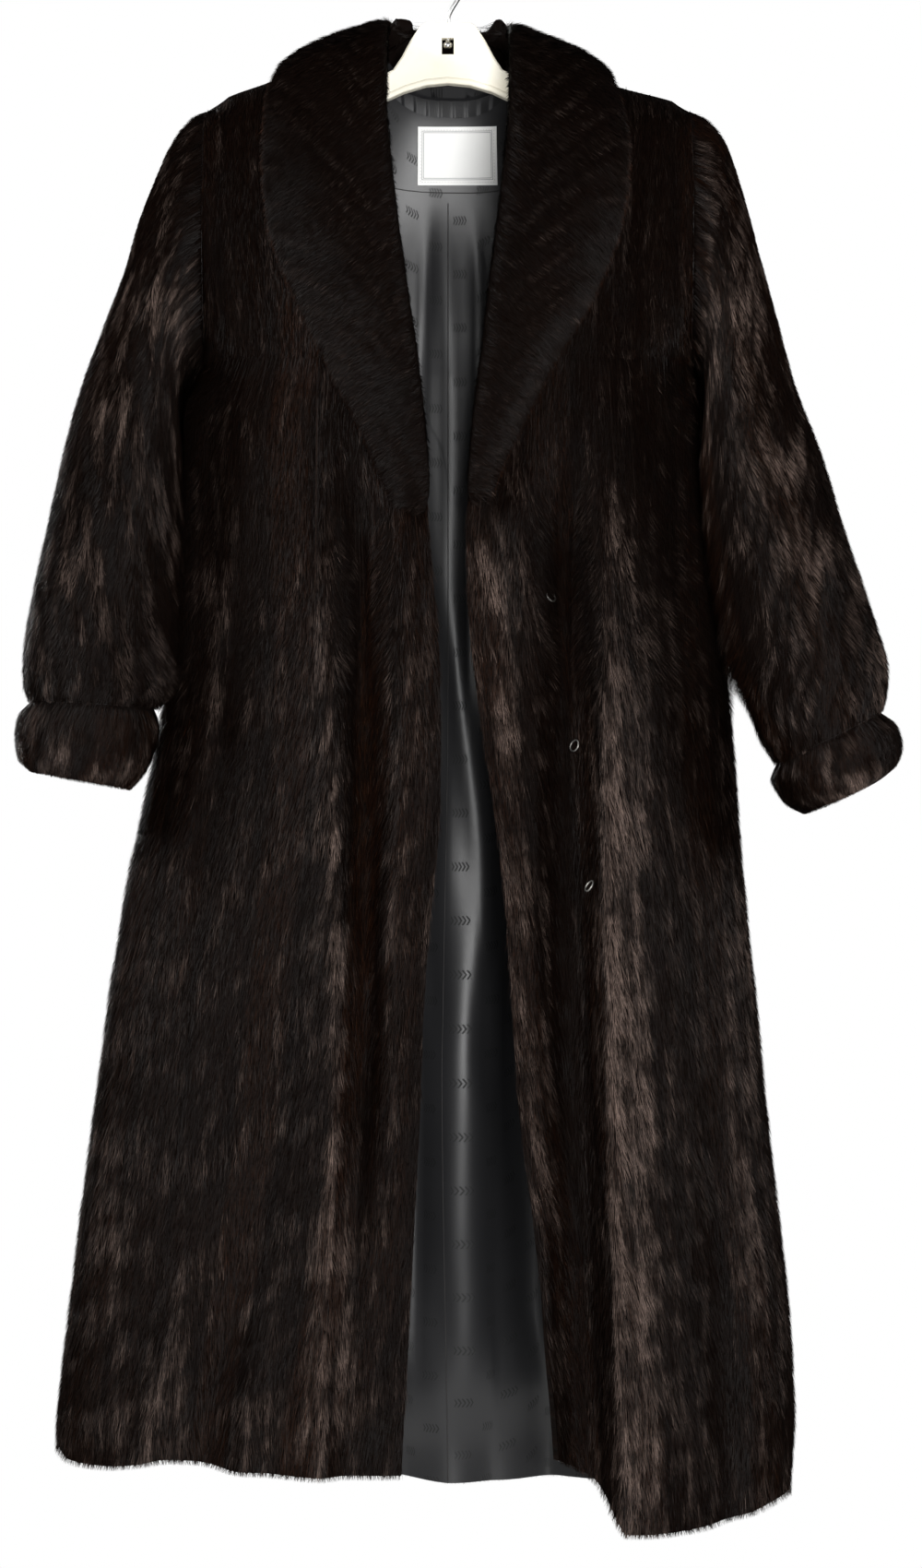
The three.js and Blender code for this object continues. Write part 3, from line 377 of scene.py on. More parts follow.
@dataclass
class ClothGrid:
    """A grid of outer points with outward directions and the lie of the hair."""

    points: np.ndarray
    normals: np.ndarray
    uv: np.ndarray
    flow: np.ndarray

    def part(self, rows: slice) -> "ClothGrid":
        """Some rows of the grid."""
        return ClothGrid(self.points[rows], self.normals[rows], self.uv[rows], self.flow[rows])

    def moved(self, distance: float) -> np.ndarray:
        """Points moved inward by a distance in millimetres."""
        return self.points - self.normals * distance

    def size(self) -> tuple[float, float, float]:
        """Width, length and area of the cloth laid flat.

        Returns:
            Largest width, mean length and area, in metres and square metres.
        """
        p = self.moved(FUR / 2) * MM
        across = np.linalg.norm(np.diff(p, axis=1), axis=2).sum(1)
        down = np.linalg.norm(np.diff(p, axis=0), axis=2).sum(0)
        a = np.cross(p[1:, :-1] - p[:-1, :-1], p[:-1, 1:] - p[:-1, :-1])
        b = np.cross(p[1:, :-1] - p[1:, 1:], p[:-1, 1:] - p[1:, 1:])
        area = (np.linalg.norm(a, axis=2).sum() + np.linalg.norm(b, axis=2).sum()) / 2
        return float(across.max()), float(down.max()), float(area)


@dataclass
class Drape:
    """The coat's drape: outer faces of the body, sleeves, cuffs and collar."""

    def shoulder_z(self, x: np.ndarray) -> np.ndarray:
        """Height of the shoulder seam."""
        return read_table(SHOULDER, "x", x, "z")

    def side_x(self, z: np.ndarray, sign: np.ndarray) -> np.ndarray:
        """Widest place of the body at a height, on the side of the sign."""
        low = np.where(sign < 0, read_table(SIDES, "z", z, "right"), read_table(SIDES, "z", z, "left"))
        return np.where(z >= UNDERARM_Z, sign * ARMHOLE_X, low)

    def nape(self, x: np.ndarray) -> np.ndarray:
        """Share of the nape's curve at a place across."""
        return np.maximum(0, 1 - np.abs(x / NECK_X) ** 3)

    def top_z(self, face: Face, x: np.ndarray) -> np.ndarray:
        """Top edge of a panel."""
        drop = NAPE_DROP * self.nape(x) if face is Face.BACK else 0.0
        return self.shoulder_z(x) - drop

    def level_z(self, face: Face, x: np.ndarray, level: np.ndarray) -> np.ndarray:
        """Height at a level: 0 is the top edge, 1 the underarm and 2 the hem."""
        nape = NAPE_DROP * self.nape(x) * np.clip(1 - level, 0, 1) ** 3 if face is Face.BACK else 0.0
        upper = mix(self.shoulder_z(x), UNDERARM_Z, level) - nape
        hem = read_table(BACK_HEM if face is Face.BACK else FRONT_HEM, "x", x, "z")
        return np.where(level <= 1, upper, mix(UNDERARM_Z, hem, level - 1))

    def fold_depth(self, face: Face, x: np.ndarray, z: np.ndarray, power: float = 2.0) -> np.ndarray:
        """Sum of the folds at each point; a higher power leaves only their crests."""
        total = np.zeros(np.broadcast(x, z).shape)
        for fold in FOLDS:
            panel = Face.BACK if fold.panel == "back" else Face.FRONT
            if panel is not face:
                continue
            here = 1.0
            if face is Face.FRONT:
                here = (x < 0) if fold.panel == "front_right" else (x >= 0)
            run = np.clip((fold.start - z) / (fold.start - max(fold.end, HEM_Z)), 0, 1)
            centre = np.where(
                run < 0.5,
                mix(fold.top, fold.middle, run * 2),
                mix(fold.middle, fold.bottom, run * 2 - 1),
            )
            half = np.where(x < centre, fold.west, fold.east)
            across = np.clip(np.abs(x - centre) / half, 0, 1)
            fade = smooth((fold.start - z) / (fold.start - fold.full))
            fade = fade * (1 - smooth((fold.end + 160 - z) / 160))
            total = total + fold.depth * fade * np.cos(across * np.pi / 2) ** power * here
        return total

    def body_y(self, face: Face, x: np.ndarray, z: np.ndarray) -> np.ndarray:
        """Depth of the outer face of the body at each place."""
        sign = np.where(x < 0, -1.0, 1.0)
        side = self.side_x(z, sign)
        inward = np.clip((side - x) / side, 0, 1)
        across = (1 - (1 - inward) ** ROUNDNESS) ** (1 / ROUNDNESS)
        top = self.top_z(face, x)
        drop = np.clip((top - z) / (top - UNDERARM_Z), 0, 1)
        round_off = np.sqrt(1 - (1 - drop) ** 2)
        down = np.clip((UNDERARM_Z - z) / (UNDERARM_Z - HEM_Z), 0, 1)
        back = face is Face.BACK
        full = mix(CHEST_BACK, HEM_BACK, down) if back else mix(CHEST_FRONT, HEM_FRONT, down)
        start = NAPE_BACK * self.nape(x) if back else 0.0
        t = (z - ARMHOLE_MID) / ARMHOLE_HALF
        edge = ARMHOLE_DEPTH * np.sqrt(np.maximum(0, 1 - t * t))
        near = (1 - across) * smooth(1 - inward / ARMHOLE_REACH)
        fold = self.fold_depth(face, x, z) * smooth(across * 1.6 - 0.6)
        depth = mix(start, full, round_off) * across + edge * near + fold
        return (depth + HALF_SEAM) * face.value

    def body_normal(self, face: Face, x: np.ndarray, z: np.ndarray) -> np.ndarray:
        """Outward direction of the body at each place."""
        step = 2.0
        toward = x - np.where(x < 0, -1.0, 1.0) * step
        slope_x = (self.body_y(face, x, z) - self.body_y(face, toward, z)) / (x - toward)
        slope_z = (self.body_y(face, x, z) - self.body_y(face, x, z - step)) / step
        out = float(face.value)
        return unit(np.stack([-slope_x * out, np.full_like(slope_x, out), -slope_z * out], axis=-1))

    def levels(self, finer: int) -> np.ndarray:
        """Levels of the rows, some times finer than on the solid."""
        upper = (1 - np.cos(np.linspace(0, np.pi, ARMHOLE_ROWS * finer + 1))) / 2
        lower = np.linspace(1, 2, LOWER_ROWS * finer + 1)[1:]
        return np.concatenate([upper, lower])

    def share(self, u: np.ndarray) -> np.ndarray:
        """Share of the way from the side to the middle, closer together round the side."""
        return np.where(u < 0.25, 1.6 * u * u, 0.1 + 1.2 * (u - 0.25))

    def panel(
        self, face: Face, sign: np.ndarray, share: np.ndarray, finer: int, edge: str = "",
    ) -> ClothGrid:
        """Grid of one panel.

        Args:
            face: Front or back.
            sign: Side of each column, -1 or 1.
            share: Share between the side and the far edge for each column.
            finer: How many rows lie in each row of the solid.
            edge: Column of the front edges, or nothing for the back.

        Returns:
            The panel's outer points and what goes with them.
        """
        level = self.levels(finer)[:, None] * np.ones(len(share))[None, :]
        sign = np.broadcast_to(sign, level.shape)
        part = np.broadcast_to(share, level.shape)
        x = sign * ARMHOLE_X
        z = self.level_z(face, x, level)
        for _ in range(4):
            far = read_table(FRONT_EDGES, "z", z, edge) if edge else sign * OFF_MIDDLE
            x = mix(self.side_x(z, sign), far, part)
            z = self.level_z(face, x, level)
        y = self.body_y(face, x, z)
        normals = self.body_normal(face, x, z)
        out = float(face.value)
        top = level == 0
        seam = (part == 0) & (level > 1)
        upper = level <= 1
        normals[..., 0] = np.where(upper, sign * np.abs(normals[..., 0]), normals[..., 0])
        nape = self.nape(x) if face is Face.BACK else np.zeros_like(x)
        y = np.where(top, out * HALF_SEAM + NAPE_BACK * nape, y)
        normals[top] = np.stack([0 * x, nape, 1.02 - nape], -1)[top]
        rim = (part == 0) & (level >= 1)
        y = np.where(rim, out * HALF_SEAM, y)
        normals[seam | rim] = np.stack([sign, 0 * sign, 0 * sign], -1)[seam | rim]
        arm = (part == 0) & upper & ~rim
        normals[arm, 0] = 0.05 * sign[arm]
        normals = unit(normals)
        points = np.stack([x, y, z], -1)
        return finish_grid(points, normals)

    def front(self, side: Side) -> ClothGrid:
        """Grid of one front."""
        u = np.linspace(0, 1, FRONT_COLUMNS * FINE_COLUMNS + 1)
        name = "right" if side is Side.RIGHT else "left"
        return self.panel(Face.FRONT, np.full_like(u, float(side.value)), self.share(u), FINE_ROWS, name)

    def back(self, finer_rows: int = FINE_ROWS, finer_columns: int = FINE_COLUMNS) -> ClothGrid:
        """Grid of the back."""
        half = BACK_COLUMNS * finer_columns // 2
        c = np.arange(2 * half + 1)
        u = 1 - np.abs(c - half) / half
        return self.panel(Face.BACK, np.where(c <= half, -1.0, 1.0), self.share(u), finer_rows)

    def tube(self, rings: tuple, columns: int, finer: int, creased: bool) -> ClothGrid:
        """Grid of a sleeve or a cuff; its last column meets the first.

        Args:
            rings: Sections from the top down.
            columns: Columns round the tube.
            finer: Rows for each section.
            creased: Whether the sleeve's creases and gathers are laid in.

        Returns:
            The tube's outer points and what goes with them.
        """
        rows = [refine(column(rings, name), finer) for name in Ring._fields]
        out_x, out_z, in_x, in_z, depth = rows
        along = np.linspace(0, 1, len(out_x))[:, None]
        angle = np.linspace(0, 2 * np.pi, columns + 1)[None, :]
        swell = np.zeros((len(out_x), columns + 1))
        turn = np.linspace(0, 1, columns + 1)[None, :]
        if creased:
            for crease in CREASES:
                a = (along - crease.along) / crease.length
                b = (turn - crease.round) / crease.width
                swell = swell + crease.depth * np.exp(-a * a - b * b)
            near = smooth((along - 0.86) / 0.14)
            swell = swell + GATHER_DEPTH * near * np.cos(2 * np.pi * GATHERS * turn)
        forward = SLEEVE_FORWARD * (smooth(along[:, 0] / FORWARD_BY) if creased else 1.0)
        middle = np.stack([(out_x + in_x) / 2, 0 * out_x - forward, (out_z + in_z) / 2], -1)[:, None, :]
        half = np.stack([(out_x - in_x) / 2, 0 * out_x, (out_z - in_z) / 2], -1)[:, None, :]
        length = np.linalg.norm(half, axis=-1, keepdims=True)
        deep = depth[:, None, None]
        y_axis = np.array([0.0, 1.0, 0.0])
        cosine = np.cos(angle)[..., None]
        sine = np.sin(angle)[..., None]
        swell = swell[..., None]
        points = middle + half * cosine * (1 + swell / length) - y_axis * sine * (deep + swell)
        normals = unit(half / length * cosine * deep - y_axis * sine * length)
        return finish_grid(points, normals)

    def collar_sections(self) -> np.ndarray:
        """Closed sections of the collar at its stations, as on the solid."""
        sections = []
        for row in COLLAR:
            t = np.linspace(0, 1, COLLAR_STEPS + 1)
            x = mix(row.edge_x, row.out_x, t)
            if row.face == "seam":
                z = self.shoulder_z(x)
                place = np.stack([x, 0 * x, z], -1)
                normal = np.tile([0.0, 0.0, 1.0], (len(t), 1))
            else:
                face = Face.FRONT if row.face == "front" else Face.BACK
                z = np.minimum(mix(row.edge_z, row.out_z, t), self.top_z(face, x))
                place = np.stack([x, self.body_y(face, x, z), z], -1)
                normal = self.body_normal(face, x, z)
            under = place + normal * COLLAR_CLEAR
            inward = unit(under[0] - under[1])
            stand = float(smooth(np.array((row.rise - COLLAR_FLAT) / (COLLAR_STAND - COLLAR_FLAT))))
            under[0, 2] += stand * COLLAR_CLEAR
            lift = mix(row.rise, COLLAR_EDGE, t) + COLLAR_DOME * np.sin(np.pi * t) * row.rise / COLLAR_STAND
            lift[-1] *= 0.75
            lean = (stand * (1 - t))[:, None]
            direction = unit(normal * (1 - lean) + np.array([0.0, 0.0, 1.0]) * lean)
            top = under + direction * lift[:, None]
            roll = mix(under[0], top[0], 0.55) + inward * row.over
            top[0] += inward * row.over * 0.5
            outward = unit(under[-1] - under[-2])
            lip = mix(under[-1], top[-1], 0.5) + outward * COLLAR_LIP
            sections.append(np.vstack([roll[None], top, lip[None], under[::-1]]))
        return np.array(sections)


def refine(values: np.ndarray, finer: int, closed: bool = False) -> np.ndarray:
    """Smooth curve through rows of values.

    Args:
        values: Rows to pass through.
        finer: Steps for each row.
        closed: Whether the last row meets the first.

    Returns:
        The rows with the new ones between them.
    """
    n = len(values)
    last = n if closed else n - 1
    s = np.arange(last * finer + (0 if closed else 1)) / finer
    i = np.minimum(s.astype(int), last - 1)
    t = (s - i).reshape((-1,) + (1,) * (values.ndim - 1))
    if closed:
        p0, p1, p2, p3 = (values[(i + k) % n] for k in (-1, 0, 1, 2))
    else:
        p0, p1, p2, p3 = (values[np.clip(i + k, 0, n - 1)] for k in (-1, 0, 1, 2))
    square = (2 * p0 - 5 * p1 + 4 * p2 - p3) * t ** 2
    cube = (3 * p1 - p0 - 3 * p2 + p3) * t ** 3
    return 0.5 * (2 * p1 + (p2 - p0) * t + square + cube)


def finish_grid(points: np.ndarray, normals: np.ndarray) -> ClothGrid:
    """Add cloth coordinates in metres and the lie of the hair down the rows."""
    across = np.linalg.norm(np.diff(points, axis=1), axis=2)
    down = np.linalg.norm(np.diff(points, axis=0), axis=2)
    u = np.zeros(points.shape[:2])
    v = np.zeros(points.shape[:2])
    u[:, 1:] = np.cumsum(across, axis=1)
    u -= u[:, u.shape[1] // 2][:, None]
    v[1:] = np.cumsum(down, axis=0)
    flow = unit(np.gradient(points, axis=0))
    return ClothGrid(points, normals, np.stack([u, v], -1) * MM, flow)


class Mesher:
    """Builds mesh objects from arrays in millimetres."""

    def make(
        self,
        name: str,
        verts: np.ndarray,
        faces: np.ndarray,
        materials: list,
        uvs: dict | None = None,
        choice: np.ndarray | None = None,
        normals: np.ndarray | None = None,
    ) -> bpy.types.Object:
        """Make one mesh object.

        Args:
            name: Name of the piece.
            verts: Points in millimetres.
            faces: Triangles or quads as indices.
            materials: Materials of the piece.
            uvs: Cloth coordinates per face corner, by layer name.
            choice: Material index of each face.
            normals: Shading normal of each point, for hair.

        Returns:
            The object, linked to the scene.
        """
        mesh = bpy.data.meshes.new(name)
        mesh.vertices.add(len(verts))
        mesh.vertices.foreach_set("co", (np.asarray(verts) * MM).ravel())
        mesh.loops.add(faces.size)
        mesh.loops.foreach_set("vertex_index", faces.ravel().astype(np.int32))
        mesh.polygons.add(len(faces))
        mesh.polygons.foreach_set("loop_start", np.arange(len(faces), dtype=np.int32) * faces.shape[1])
        if choice is not None:
            mesh.polygons.foreach_set("material_index", choice.astype(np.int32))
        mesh.polygons.foreach_set("use_smooth", np.ones(len(faces), dtype=bool))
        mesh.update(calc_edges=True)
        for layer, values in (uvs or {}).items():
            uv = mesh.uv_layers.new(name=layer)
            uv.data.foreach_set("uv", np.asarray(values, dtype=np.float32).ravel())
        for item in materials:
            mesh.materials.append(item)
        if normals is not None:
            mesh.normals_split_custom_set_from_vertices(normals.tolist())
        obj = bpy.data.objects.new(name, mesh)
        bpy.context.collection.objects.link(obj)
        return obj

    def shell(
        self,
        name: str,
        grid: ClothGrid,
        outer: float,
        inner: float,
        materials: list,
        ring: bool = False,
        lift: np.ndarray | None = None,
    ) -> bpy.types.Object:
        """Make a closed wall that lies between two depths under a grid.

        Args:
            name: Name of the piece.
            grid: Outer surface of the cloth.
            outer: Depth of the wall's outer face.
            inner: Depth of the wall's inner face.
            materials: Finish outside, then finish inside where there are two.
            ring: Whether the last column meets the first.
            lift: Extra depth of both faces at each point.

        Returns:
            The wall as one object.
        """
        rows, columns = grid.points.shape[:2]
        own = columns - 1 if ring else columns
        extra = 0.0 if lift is None else lift[..., None]
        depths = (outer + extra, inner + extra)
        layers = [(grid.points - grid.normals * depth)[:, :own].reshape(-1, 3) for depth in depths]
        r, c = np.meshgrid(np.arange(rows - 1), np.arange(columns - 1), indexing="ij")
        r = r.ravel()
        c = c.ravel()
        corner_r = np.stack([r, r + 1, r + 1, r], 1)
        corner_c = np.stack([c, c, c + 1, c + 1], 1)

        def at(layer: int, row: np.ndarray, col: np.ndarray) -> np.ndarray:
            """Index of a point."""
            return layer * rows * own + row * own + col % own

        faces = [at(0, corner_r, corner_c), at(1, corner_r, corner_c)[:, ::-1]]
        uv = [grid.uv[corner_r, corner_c], grid.uv[corner_r, corner_c][:, ::-1]]
        choice = [np.zeros(len(r)), np.full(len(r), len(materials) - 1)]
        every_column = np.arange(columns)
        every_row = np.arange(rows)
        edges = [(every_column, 0 * every_column, 1), (every_column, 0 * every_column + rows - 1, -1)]
        if not ring:
            edges += [(0 * every_row, every_row, -1), (0 * every_row + columns - 1, every_row, 1)]
        for cols, rws, turn in edges:
            a = (rws[:-1], cols[:-1])
            b = (rws[1:], cols[1:])
            quad = np.stack([at(0, *a), at(0, *b), at(1, *b), at(1, *a)], 1)
            place = np.stack([grid.uv[a], grid.uv[b], grid.uv[b], grid.uv[a]], 1)
            faces.append(quad[:, ::turn])
            uv.append(place[:, ::turn])
            choice.append(np.zeros(len(quad)))
        verts = np.concatenate(layers)
        quads = np.concatenate(faces)
        cloth = np.concatenate(uv)
        if self.volume(verts, quads) < 0:
            quads = quads[:, ::-1]
            cloth = cloth[:, ::-1]
        obj = self.make(name, verts, quads, materials, {"cloth": cloth}, np.concatenate(choice))
        obj.data.set_sharp_from_angle(angle=RIM_ANGLE)
        return obj

    def volume(self, verts: np.ndarray, quads: np.ndarray) -> float:
        """Signed volume of a closed mesh of quads."""
        a, b, c, d = (verts[quads[:, k]] for k in range(4))
        one = np.einsum("ij,ij->i", a, np.cross(b, c))
        two = np.einsum("ij,ij->i", a, np.cross(c, d))
        return float((one + two).sum() / 6)

    def rod(
        self,
        name: str,
        path: np.ndarray,
        radius: np.ndarray,
        sides: int,
        finish: bpy.types.Material,
        closed: bool = False,
    ) -> bpy.types.Object:
        """Make a round wire or thread along a path.

        Args:
            name: Name of the piece.
            path: Points along the middle.
            radius: Radius at each point.
            sides: Sides round the wire.
            finish: Its material.
            closed: Whether the path is a loop.

        Returns:
            The wire as one closed mesh.
        """
        if closed:
            along = unit(np.roll(path, -1, 0) - np.roll(path, 1, 0))
        else:
            along = unit(np.gradient(path, axis=0))
        across = unit(np.cross(along, plane_normal(path)))
        other = np.cross(along, across)
        turn = np.linspace(0, 2 * np.pi, sides, endpoint=False)[None, :, None]
        ring = across[:, None] * np.cos(turn) + other[:, None] * np.sin(turn)
        verts = (path[:, None] + ring * np.asarray(radius).reshape(-1, 1, 1)).reshape(-1, 3)
        count = len(path)
        i, j = np.meshgrid(np.arange(count if closed else count - 1), np.arange(sides), indexing="ij")
        i = i.ravel()
        j = j.ravel()
        a = i * sides + j
        b = i * sides + (j + 1) % sides
        c = (i + 1) % count * sides + (j + 1) % sides
        d = (i + 1) % count * sides + j
        quads = np.stack([a, b, c, d], 1)
        if not closed:
            verts = np.vstack([verts, path[:1], path[-1:]])
            k = np.arange(sides)
            nxt = (k + 1) % sides
            last = (count - 1) * sides
            start = np.stack([k * 0 + count * sides, nxt, k, k], 1)
            end = np.stack([k * 0 + count * sides + 1, last + k, last + nxt, last + nxt], 1)
            quads = np.vstack([quads, start, end])
            caps = np.vstack([start, end])[:, :3]
            triangles = np.vstack([quads[:-2 * sides, [0, 1, 2]], quads[:-2 * sides, [0, 2, 3]], caps])
        else:
            triangles = np.vstack([quads[:, [0, 1, 2]], quads[:, [0, 2, 3]]])
        p = verts[triangles]
        volume = np.einsum("ij,ij->i", p[:, 0], np.cross(p[:, 1], p[:, 2])).sum()
        if volume < 0:
            triangles = triangles[:, ::-1]
        return self.make(name, verts, triangles, [finish])


def plane_normal(path: np.ndarray) -> np.ndarray:
    """Direction square to the plane that a path lies closest to."""
    _, _, axes = np.linalg.svd(path - path.mean(0), full_matrices=False)
    return axes[-1]


class NodeBench:
    """Short ways to add and join nodes of one tree."""

    def __init__(self, tree: bpy.types.NodeTree) -> None:
        """Keep the tree."""
        self.tree = tree

    def give(self, value: object, socket: bpy.types.NodeSocket) -> None:
        """Link a socket to another, or set its value."""
        if isinstance(value, bpy.types.NodeSocket):
            self.tree.links.new(value, socket)
        else:
            socket.default_value = value

    def add(self, kind: str, inputs: dict | None = None, **settings: object) -> bpy.types.Node:
        """Add a node.

        Args:
            kind: Node type without its prefix.
            inputs: Values or sockets by input name or number.
            settings: Attributes of the node.

        Returns:
            The new node.
        """
        made = self.tree.nodes.new("ShaderNode" + kind)
        for key, value in settings.items():
            setattr(made, key, value)
        for key, value in (inputs or {}).items():
            self.give(value, made.inputs[key])
        return made

    def math(self, operation: str, a: object, b: object = 0.0) -> bpy.types.NodeSocket:
        """Output of one sum."""
        return self.add("Math", {0: a, 1: b}, operation=operation).outputs[0]

    def times(self, a: object, b: object) -> bpy.types.NodeSocket:
        """Product of a and b."""
        return self.math("MULTIPLY", a, b)

    def blend(self, factor: object, a: object, b: object) -> bpy.types.NodeSocket:
        """Colour between a and b."""
        return self.add("Mix", {0: factor, 6: a, 7: b}, data_type="RGBA").outputs[2]

    def span(
        self, value: object, low: float, high: float, to_low: float, to_high: float,
    ) -> bpy.types.NodeSocket:
        """Value carried from one span to another, clamped."""
        ends = {"From Min": low, "From Max": high, "To Min": to_low, "To Max": to_high}
        return self.add("MapRange", {"Value": value, **ends}).outputs[0]

    def place(self) -> bpy.types.NodeSocket:
        """Place on the object."""
        return self.add("TexCoord").outputs["Object"]

    def layer(self, name: str, scale: tuple = ()) -> bpy.types.NodeSocket:
        """Coordinates of a layer, scaled where a scale is given."""
        made = self.add("UVMap", uv_map=name).outputs[0]
        return self.add("Mapping", {0: made, 3: scale}).outputs[0] if scale else made

    def axes(self, name: str) -> tuple[bpy.types.NodeSocket, bpy.types.NodeSocket]:
        """Both coordinates of a layer."""
        split = self.add("SeparateXYZ", {0: self.layer(name)})
        return split.outputs[0], split.outputs[1]

    def noise(
        self, at: bpy.types.NodeSocket, scale: object = 1.0, detail: float = 2.0, distortion: float = 0.0,
    ) -> bpy.types.NodeSocket:
        """Soft noise at places."""
        inputs = {"Vector": at, "Scale": scale, "Detail": detail, "Distortion": distortion}
        return self.add("TexNoise", inputs).outputs[0]

    def bump(self, height: object, strength: float, distance: object) -> bpy.types.NodeSocket:
        """Normal that follows a height."""
        return self.add("Bump", {"Height": height, "Strength": strength, "Distance": distance}).outputs[0]


class Effects:
    """Shared node groups for surface detail."""

    def group(self, name: str, ins: tuple, outs: tuple) -> tuple:
        """Start a group.

        Args:
            name: Name of the group.
            ins: Pairs of input name and socket kind.
            outs: Pairs of output name and socket kind.

        Returns:
            The group's bench, what it is given and what it puts out.
        """
        tree = bpy.data.node_groups.new(name, "ShaderNodeTree")
        for way, pairs in (("INPUT", ins), ("OUTPUT", outs)):
            for label, kind in pairs:
                tree.interface.new_socket(label, in_out=way, socket_type="NodeSocket" + kind)
        given = tree.nodes.new("NodeGroupInput").outputs
        return NodeBench(tree), given, tree.nodes.new("NodeGroupOutput").inputs

    def fur_tones(self) -> None:
        """Colour of a hair from root to tip, with broad patches and joined pelt strips, plus painted
        highlight and a warm painted rim light.
        """
        ins = (("Root", "Color"), ("Tip", "Color"), ("PaintedRimLight", "Color"), ("PaintedHighlight", "Color"))
        bench, given, out = self.group("fur_tones", ins, (("Color", "Color"),))
        hue, along = bench.axes("lie")
        painted_sheen, _ = bench.axes("painted_sheen")
        place = bench.place()
        patches = bench.span(bench.noise(place, 9.0, 3.0), 0.3, 0.7, 0.7, 1.2)
        fine = bench.span(bench.noise(place, 260.0), 0.25, 0.75, 0.6, 1.3)
        dark = bench.blend(bench.span(hue, 0.0, 0.5, 0.0, 1.0), given["Root"], given["Tip"])
        # Hues above one half go towards the warm colour of painted rim light.
        body = bench.blend(bench.span(hue, 0.5, 1.0, 0.0, 1.0), dark, given["PaintedRimLight"])
        # Painted highlight: the lightest colour, laid towards the tip by each hair's share of painted sheen.
        painted_highlight = bench.blend(bench.times(painted_sheen, along), body, given["PaintedHighlight"])
        # Darker towards the root: painted shade deep in the pile, varied by patchy and fine noise.
        reach = bench.times(bench.span(along, 0.0, 1.0, 0.35, 1.0), bench.times(patches, fine))
        bench.give(bench.blend(reach, given["Root"], painted_highlight), out[0])

    def underfur(self) -> None:
        """Dense down under the guard hair: colour and normal."""
        outs = (("Color", "Color"), ("Normal", "Vector"))
        bench, given, out = self.group("underfur", (("Dark", "Color"), ("Light", "Color")), outs)
        streaks = bench.noise(bench.layer("cloth", (900.0, 70.0, 1.0)), 1.0, 4.0, 0.6)
        broad = bench.span(bench.noise(bench.place(), 14.0, 3.0), 0.3, 0.7, 0.5, 1.1)
        mixed = bench.times(bench.span(streaks, 0.3, 0.7, 0.0, 1.0), broad)
        bench.give(bench.blend(mixed, given["Dark"], given["Light"]), out[0])
        bench.give(bench.bump(streaks, 0.8, 0.003), out[1])

    def jacquard(self) -> None:
        """Satin with half-dropped groups of slanted dashes: mask of the dashes, normal and tone."""
        ins = (("Across", "Float"), ("Down", "Float"), ("Dash", "Float"))
        outs = (("Mask", "Float"), ("Normal", "Vector"), ("Tone", "Float"))
        bench, given, out = self.group("jacquard", ins, outs)
        cloth_x, cloth_y = bench.axes("cloth")
        across = bench.math("DIVIDE", cloth_x, given["Across"])
        drop = bench.times(bench.math("PINGPONG", bench.math("FLOOR", across), 1.0), 0.5)
        down = bench.math("ADD", bench.math("DIVIDE", cloth_y, given["Down"]), drop)
        x, y = (
            bench.times(bench.math("SUBTRACT", bench.math("FRACT", value), 0.5), given[label])
            for value, label in ((across, "Across"), (down, "Down"))
        )
        slant = bench.math("ADD", x, bench.times(bench.math("ABSOLUTE", y), DASH_SLANT))
        beat = bench.math("FRACT", bench.math("DIVIDE", slant, given["Dash"]))
        dashes = bench.math("LESS_THAN", beat, DASH_SHARE)
        wide = bench.math("LESS_THAN", bench.math("ABSOLUTE", x), DASHES_HALF_WIDE)
        tall = bench.math("LESS_THAN", bench.math("ABSOLUTE", y), DASHES_HALF_TALL)
        mask = bench.times(dashes, bench.times(wide, tall))
        bench.give(mask, out[0])
        weave = bench.noise(bench.layer("cloth", (2600.0, 900.0, 1.0)))
        bench.give(bench.bump(bench.math("ADD", bench.times(weave, 0.4), mask), 0.25, 0.0004), out[1])
        bench.give(bench.span(bench.noise(bench.place(), 6.0), 0.3, 0.7, 0.7, 1.25), out[2])

    def border(self) -> None:
        """Double line near the edges of a label: mask and weave normal."""
        outs = (("Mask", "Float"), ("Normal", "Vector"))
        bench, given, out = self.group("border", (("Wide", "Float"), ("Tall", "Float")), outs)
        cloth_x, cloth_y = bench.axes("cloth")
        x = bench.math("ABSOLUTE", cloth_x)
        y = bench.math("ABSOLUTE", bench.math("SUBTRACT", cloth_y, given["Tall"]))
        from_x = bench.math("SUBTRACT", given["Wide"], x)
        from_y = bench.math("SUBTRACT", given["Tall"], y)
        edge = bench.math("MINIMUM", from_x, from_y)
        lines = [
            bench.add("Math", {0: edge, 1: at, 2: BORDER_HALF_LINE}, operation="COMPARE").outputs[0]
            for at in BORDER_LINES
        ]
        bench.give(bench.math("MAXIMUM", *lines), out[0])
        weave = bench.noise(bench.layer("cloth", (1500.0, 5200.0, 1.0)))
        bench.give(bench.bump(weave, 0.35, 0.0004), out[1])

    def worn(self) -> None:
        """Handled surface: a patchy tone and a fine normal at a given scale."""
        outs = (("Tone", "Float"), ("Normal", "Vector"))
        bench, given, out = self.group("worn", (("Scale", "Float"), ("Depth", "Float")), outs)
        place = bench.place()
        bench.give(bench.span(bench.noise(place, 24.0, 5.0), 0.3, 0.7, 0.0, 1.0), out[0])
        fine = bench.noise(place, given["Scale"], 3.0)
        bench.give(bench.bump(fine, 0.3, given["Depth"]), out[1])


class Groups(Enum):
    """Node groups that the finishes share."""

    FUR_TONES = "fur_tones"
    UNDERFUR = "underfur"
    JACQUARD = "jacquard"
    BORDER = "border"
    WORN = "worn"


